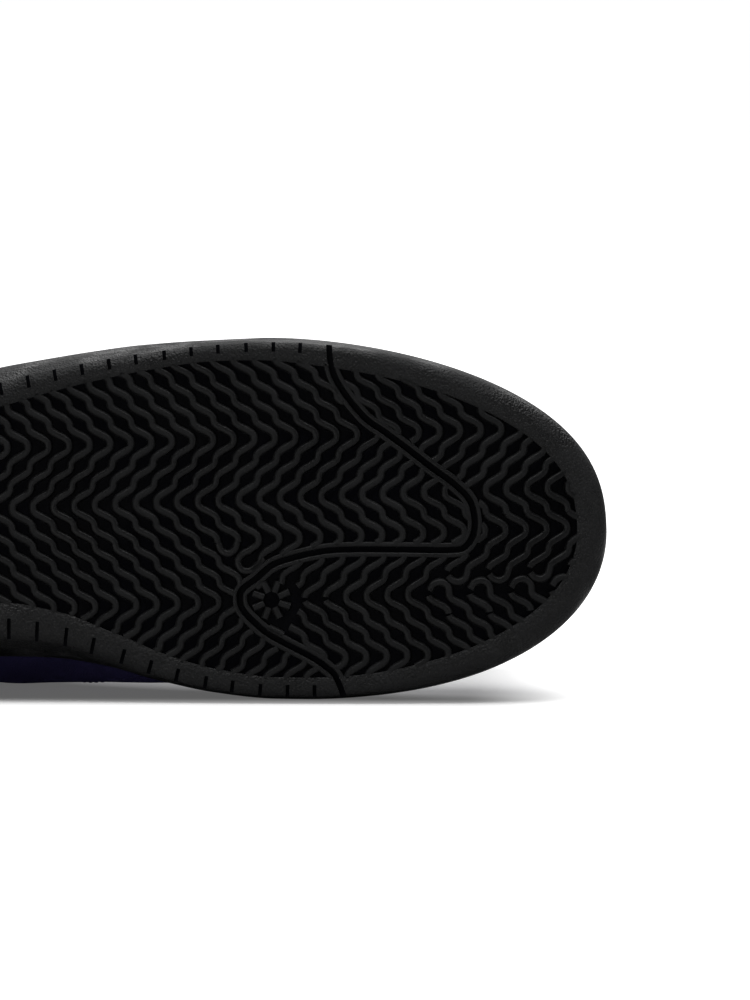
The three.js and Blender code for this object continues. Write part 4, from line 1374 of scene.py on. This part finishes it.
# Tongue: padded, under the throat's edges, standing out beyond the throat
tongueLook = {"thickness": 7, "overlap": 13, "overshoot": 22, "columns": 40, "throatRows": 60, "freeRows": 14,
              "looseGap": .8, "channel": .22}


def tongue():
    look = tongueLook
    start, end = placeOf(tongueFoot), placeOf(throatTop)
    across = np.linspace(-1, 1, look["columns"] + 1)
    edgeRound = np.sqrt(np.clip(1 - np.abs(across) ** 8, 0, 1))
    rings = []
    for i in range(look["throatRows"] + 1):
        share = 1 - i / look["throatRows"]
        place = end + (start - end) * share
        half = float(throatHalf(place)) + look["overlap"] * min(1, 3.2 * share - .12)
        thick = look["thickness"] * min(1, .45 + (1 - share))
        swell = upperWall * min(1, float(throatHalf(place)) / look["thickness"])
        inThroat = np.minimum(1, np.abs(across * half) / (float(throatHalf(place)) + nudge))
        depth = look["looseGap"] + upperWall - swell * (1 - inThroat ** 2)
        ribs = 1 - look["channel"] * np.exp(-((np.abs(across) - .5) / .05) ** 2)
        body = thick * (1 - .6 * across ** 2) * edgeRound * ribs
        top, _ = overInstep(place, across * half, -depth - .25 * (thick - body) * (1 - edgeRound))
        bottom, _ = overInstep(place, across * half, -depth - np.maximum(body, .25))
        rings.append(np.concatenate([top, bottom[::-1]]))
    along = unit(instep(end, 0.0) - instep(end + .02, 0.0))
    last, middle = rings[-1], rings[-1].mean(0)
    for i in range(1, look["freeRows"] + 1):
        share = i / look["freeRows"]
        flare = 1 + .5 * share - .42 * share ** 4
        thin = math.sqrt(max(.02, 1 - share ** 6))
        centre = middle + along * look["overshoot"] * share
        rings.append((last - middle) * np.array([thin, flare, thin]) + centre)
    grid = np.array(rings)
    made = gridMesh("padded_tongue", grid, clothOver(grid), finish["tongueCloth"])
    finishPiece(made, "tongue_cloth", "tongue")
    rows = []
    for side in (-.86, .86):
        k = int(round((side + 1) / 2 * look["columns"]))
        rows.append(grid[8:-2, k] + (0, 0, .1))
    edgeRow = withNodes(wireObject("tongue_stitches", rows), stitches, stitchSizes)
    finishPiece(edgeRow, "thread", "tongue")
    print("8 tongue made")


# Laces: flat bands that cross over the tongue and dive into the eyelets
laceLook = {"width": 7.5, "thick": 1.5, "lift": 1.1, "steps": 64, "squeeze": .52, "dive": 4.5}


def laces():
    look = laceLook
    angle = np.linspace(0, 2 * np.pi, 19)[:-1]
    profile = np.stack([np.sign(np.cos(angle)) * np.abs(np.cos(angle)) ** .5 * look["width"] / 2,
                        np.sign(np.sin(angle)) * np.abs(np.sin(angle)) ** .8 * look["thick"] / 2], -1)
    profile[:, 1] *= 1 - .22 * np.cos(profile[:, 0] / look["width"] * 2 * np.pi * 1.5) ** 2
    runs = [(eyeletPlaces[0], eyeletPlaces[0], medial, 0)]
    for i, (low, high) in enumerate(zip(eyeletPlaces, eyeletPlaces[1:])):
        runs += [(low, high, medial, 1.7 * (i % 2)), (low, high, lateral, 1.7 * ((i + 1) % 2))]
    points, faces, cloth, start = [], [], [], 0
    for low, high, side, over in runs:
        s = np.linspace(0, 1, look["steps"])
        place = low + (high - low) * s
        reach = float(throatHalf(low)) + eyeletSetback, float(throatHalf(high)) + eyeletSetback
        distance = side * (reach[0] * (1 - s) - reach[1] * s)
        bow = np.sin(np.pi * s) ** 2
        dive = np.exp(-s / .035) + np.exp(-(1 - s) / .035)
        ride = look["lift"] + upperLook["panelThick"] + look["thick"] / 2 + over * bow
        line, normal = overInstep(place, distance, ride - look["dive"] * dive)
        travel = unit(line[-1] - line[0])
        width = unit(np.cross(travel, normal))
        tangent = unit(np.gradient(line, axis=0))
        up = unit(np.cross(width, tangent))
        up *= np.sign(np.einsum("ij,ij->i", up, normal))[:, None]
        squeeze = 1 - look["squeeze"] * np.clip(dive * 1.2, 0, 1)
        rings = (line[:, None] + width[:, None] * (profile[None, :, :1] * squeeze[:, None, None])
                 + up[:, None] * profile[None, :, 1:])
        size = len(profile)
        points.append(rings.reshape(-1, 3))
        lengths = lengthsAlong(line)
        flat = np.stack(np.broadcast_arrays(profile[None, :, 0], lengths[:, None]), -1)
        cloth.append(flat.reshape(-1, 2))
        faces += [[start + v for v in face] for face in loftFaces(len(line), size, closedEnds=True)]
        start += len(line) * size
    made = makeMesh("woven_laces", np.concatenate(points), faces, finish["lace"])
    setClothMap(made, np.concatenate(cloth))
    finishPiece(fixNormals(made), "lace", "laces")
    print("9 laces:", len(runs), "runs")


# Sock liner: a thin foam bed on the cup's bed
linerLook = {"inset": 8.1, "thickness": 4, "edgeRise": .9, "edgeRound": 1.6}


def sockLiner():
    bed = lambda s: heightAt("bed", s) + gap
    thick, soft = linerLook["thickness"], linerLook["edgeRound"]
    profile = [(soft, 0), (.4 * soft, .1), (0, .35 * soft), (0, thick - soft)]
    profile += [(soft * (1 - math.cos(angle)), thick - soft + soft * math.sin(angle))
                for angle in (.4, .8, 1.2, math.pi / 2)]
    rings = [soleRing(lambda s, side, e=extra: linerLook["inset"] + e + 0 * s,
                      lambda s, side, h=height: bed(s) + h) for extra, height in profile]
    points, faces = soleLoft(rings, 24)
    station = points[:, 0] / soleLength
    top = points[:, 2] - bed(station) - heightAt("rise", station) > thick - .2
    across = np.clip(np.abs(points[:, 1]) / 42, 0, 1)
    points[top, 2] += (linerLook["edgeRise"] * across ** 2 - .25)[top]
    liner = fixNormals(makeMesh("sock_liner", points, faces, finish["lining"]))
    setClothMap(liner, points[:, :2])
    finishPiece(liner, "lining", "insole")


def sidewallStitches():
    below, width, deep = (cupLook[key] for key in ("channelBelow", "channelWidth", "channelDepth"))
    height = lambda s: heightAt("rim", s) - below - width / 2
    ring = soleRing(lambda s, side: sidewallInset(s, side, height(s)) + deep - .2, lambda s, side: height(s))
    wire = wireObject("sidewall_stitches", [np.concatenate([ring, ring[:1]])])
    sizes = {"Pitch": cupLook["stitchPitch"], "Length": cupLook["stitchLength"],
             "Radius": cupLook["stitchRadius"], "Material": finish["thread"]}
    finishPiece(withNodes(wire, stitches, sizes), "thread", "midsole")


tongue()
laces()
sockLiner()
sidewallStitches()
print("10 sock liner and sidewall stitches made")
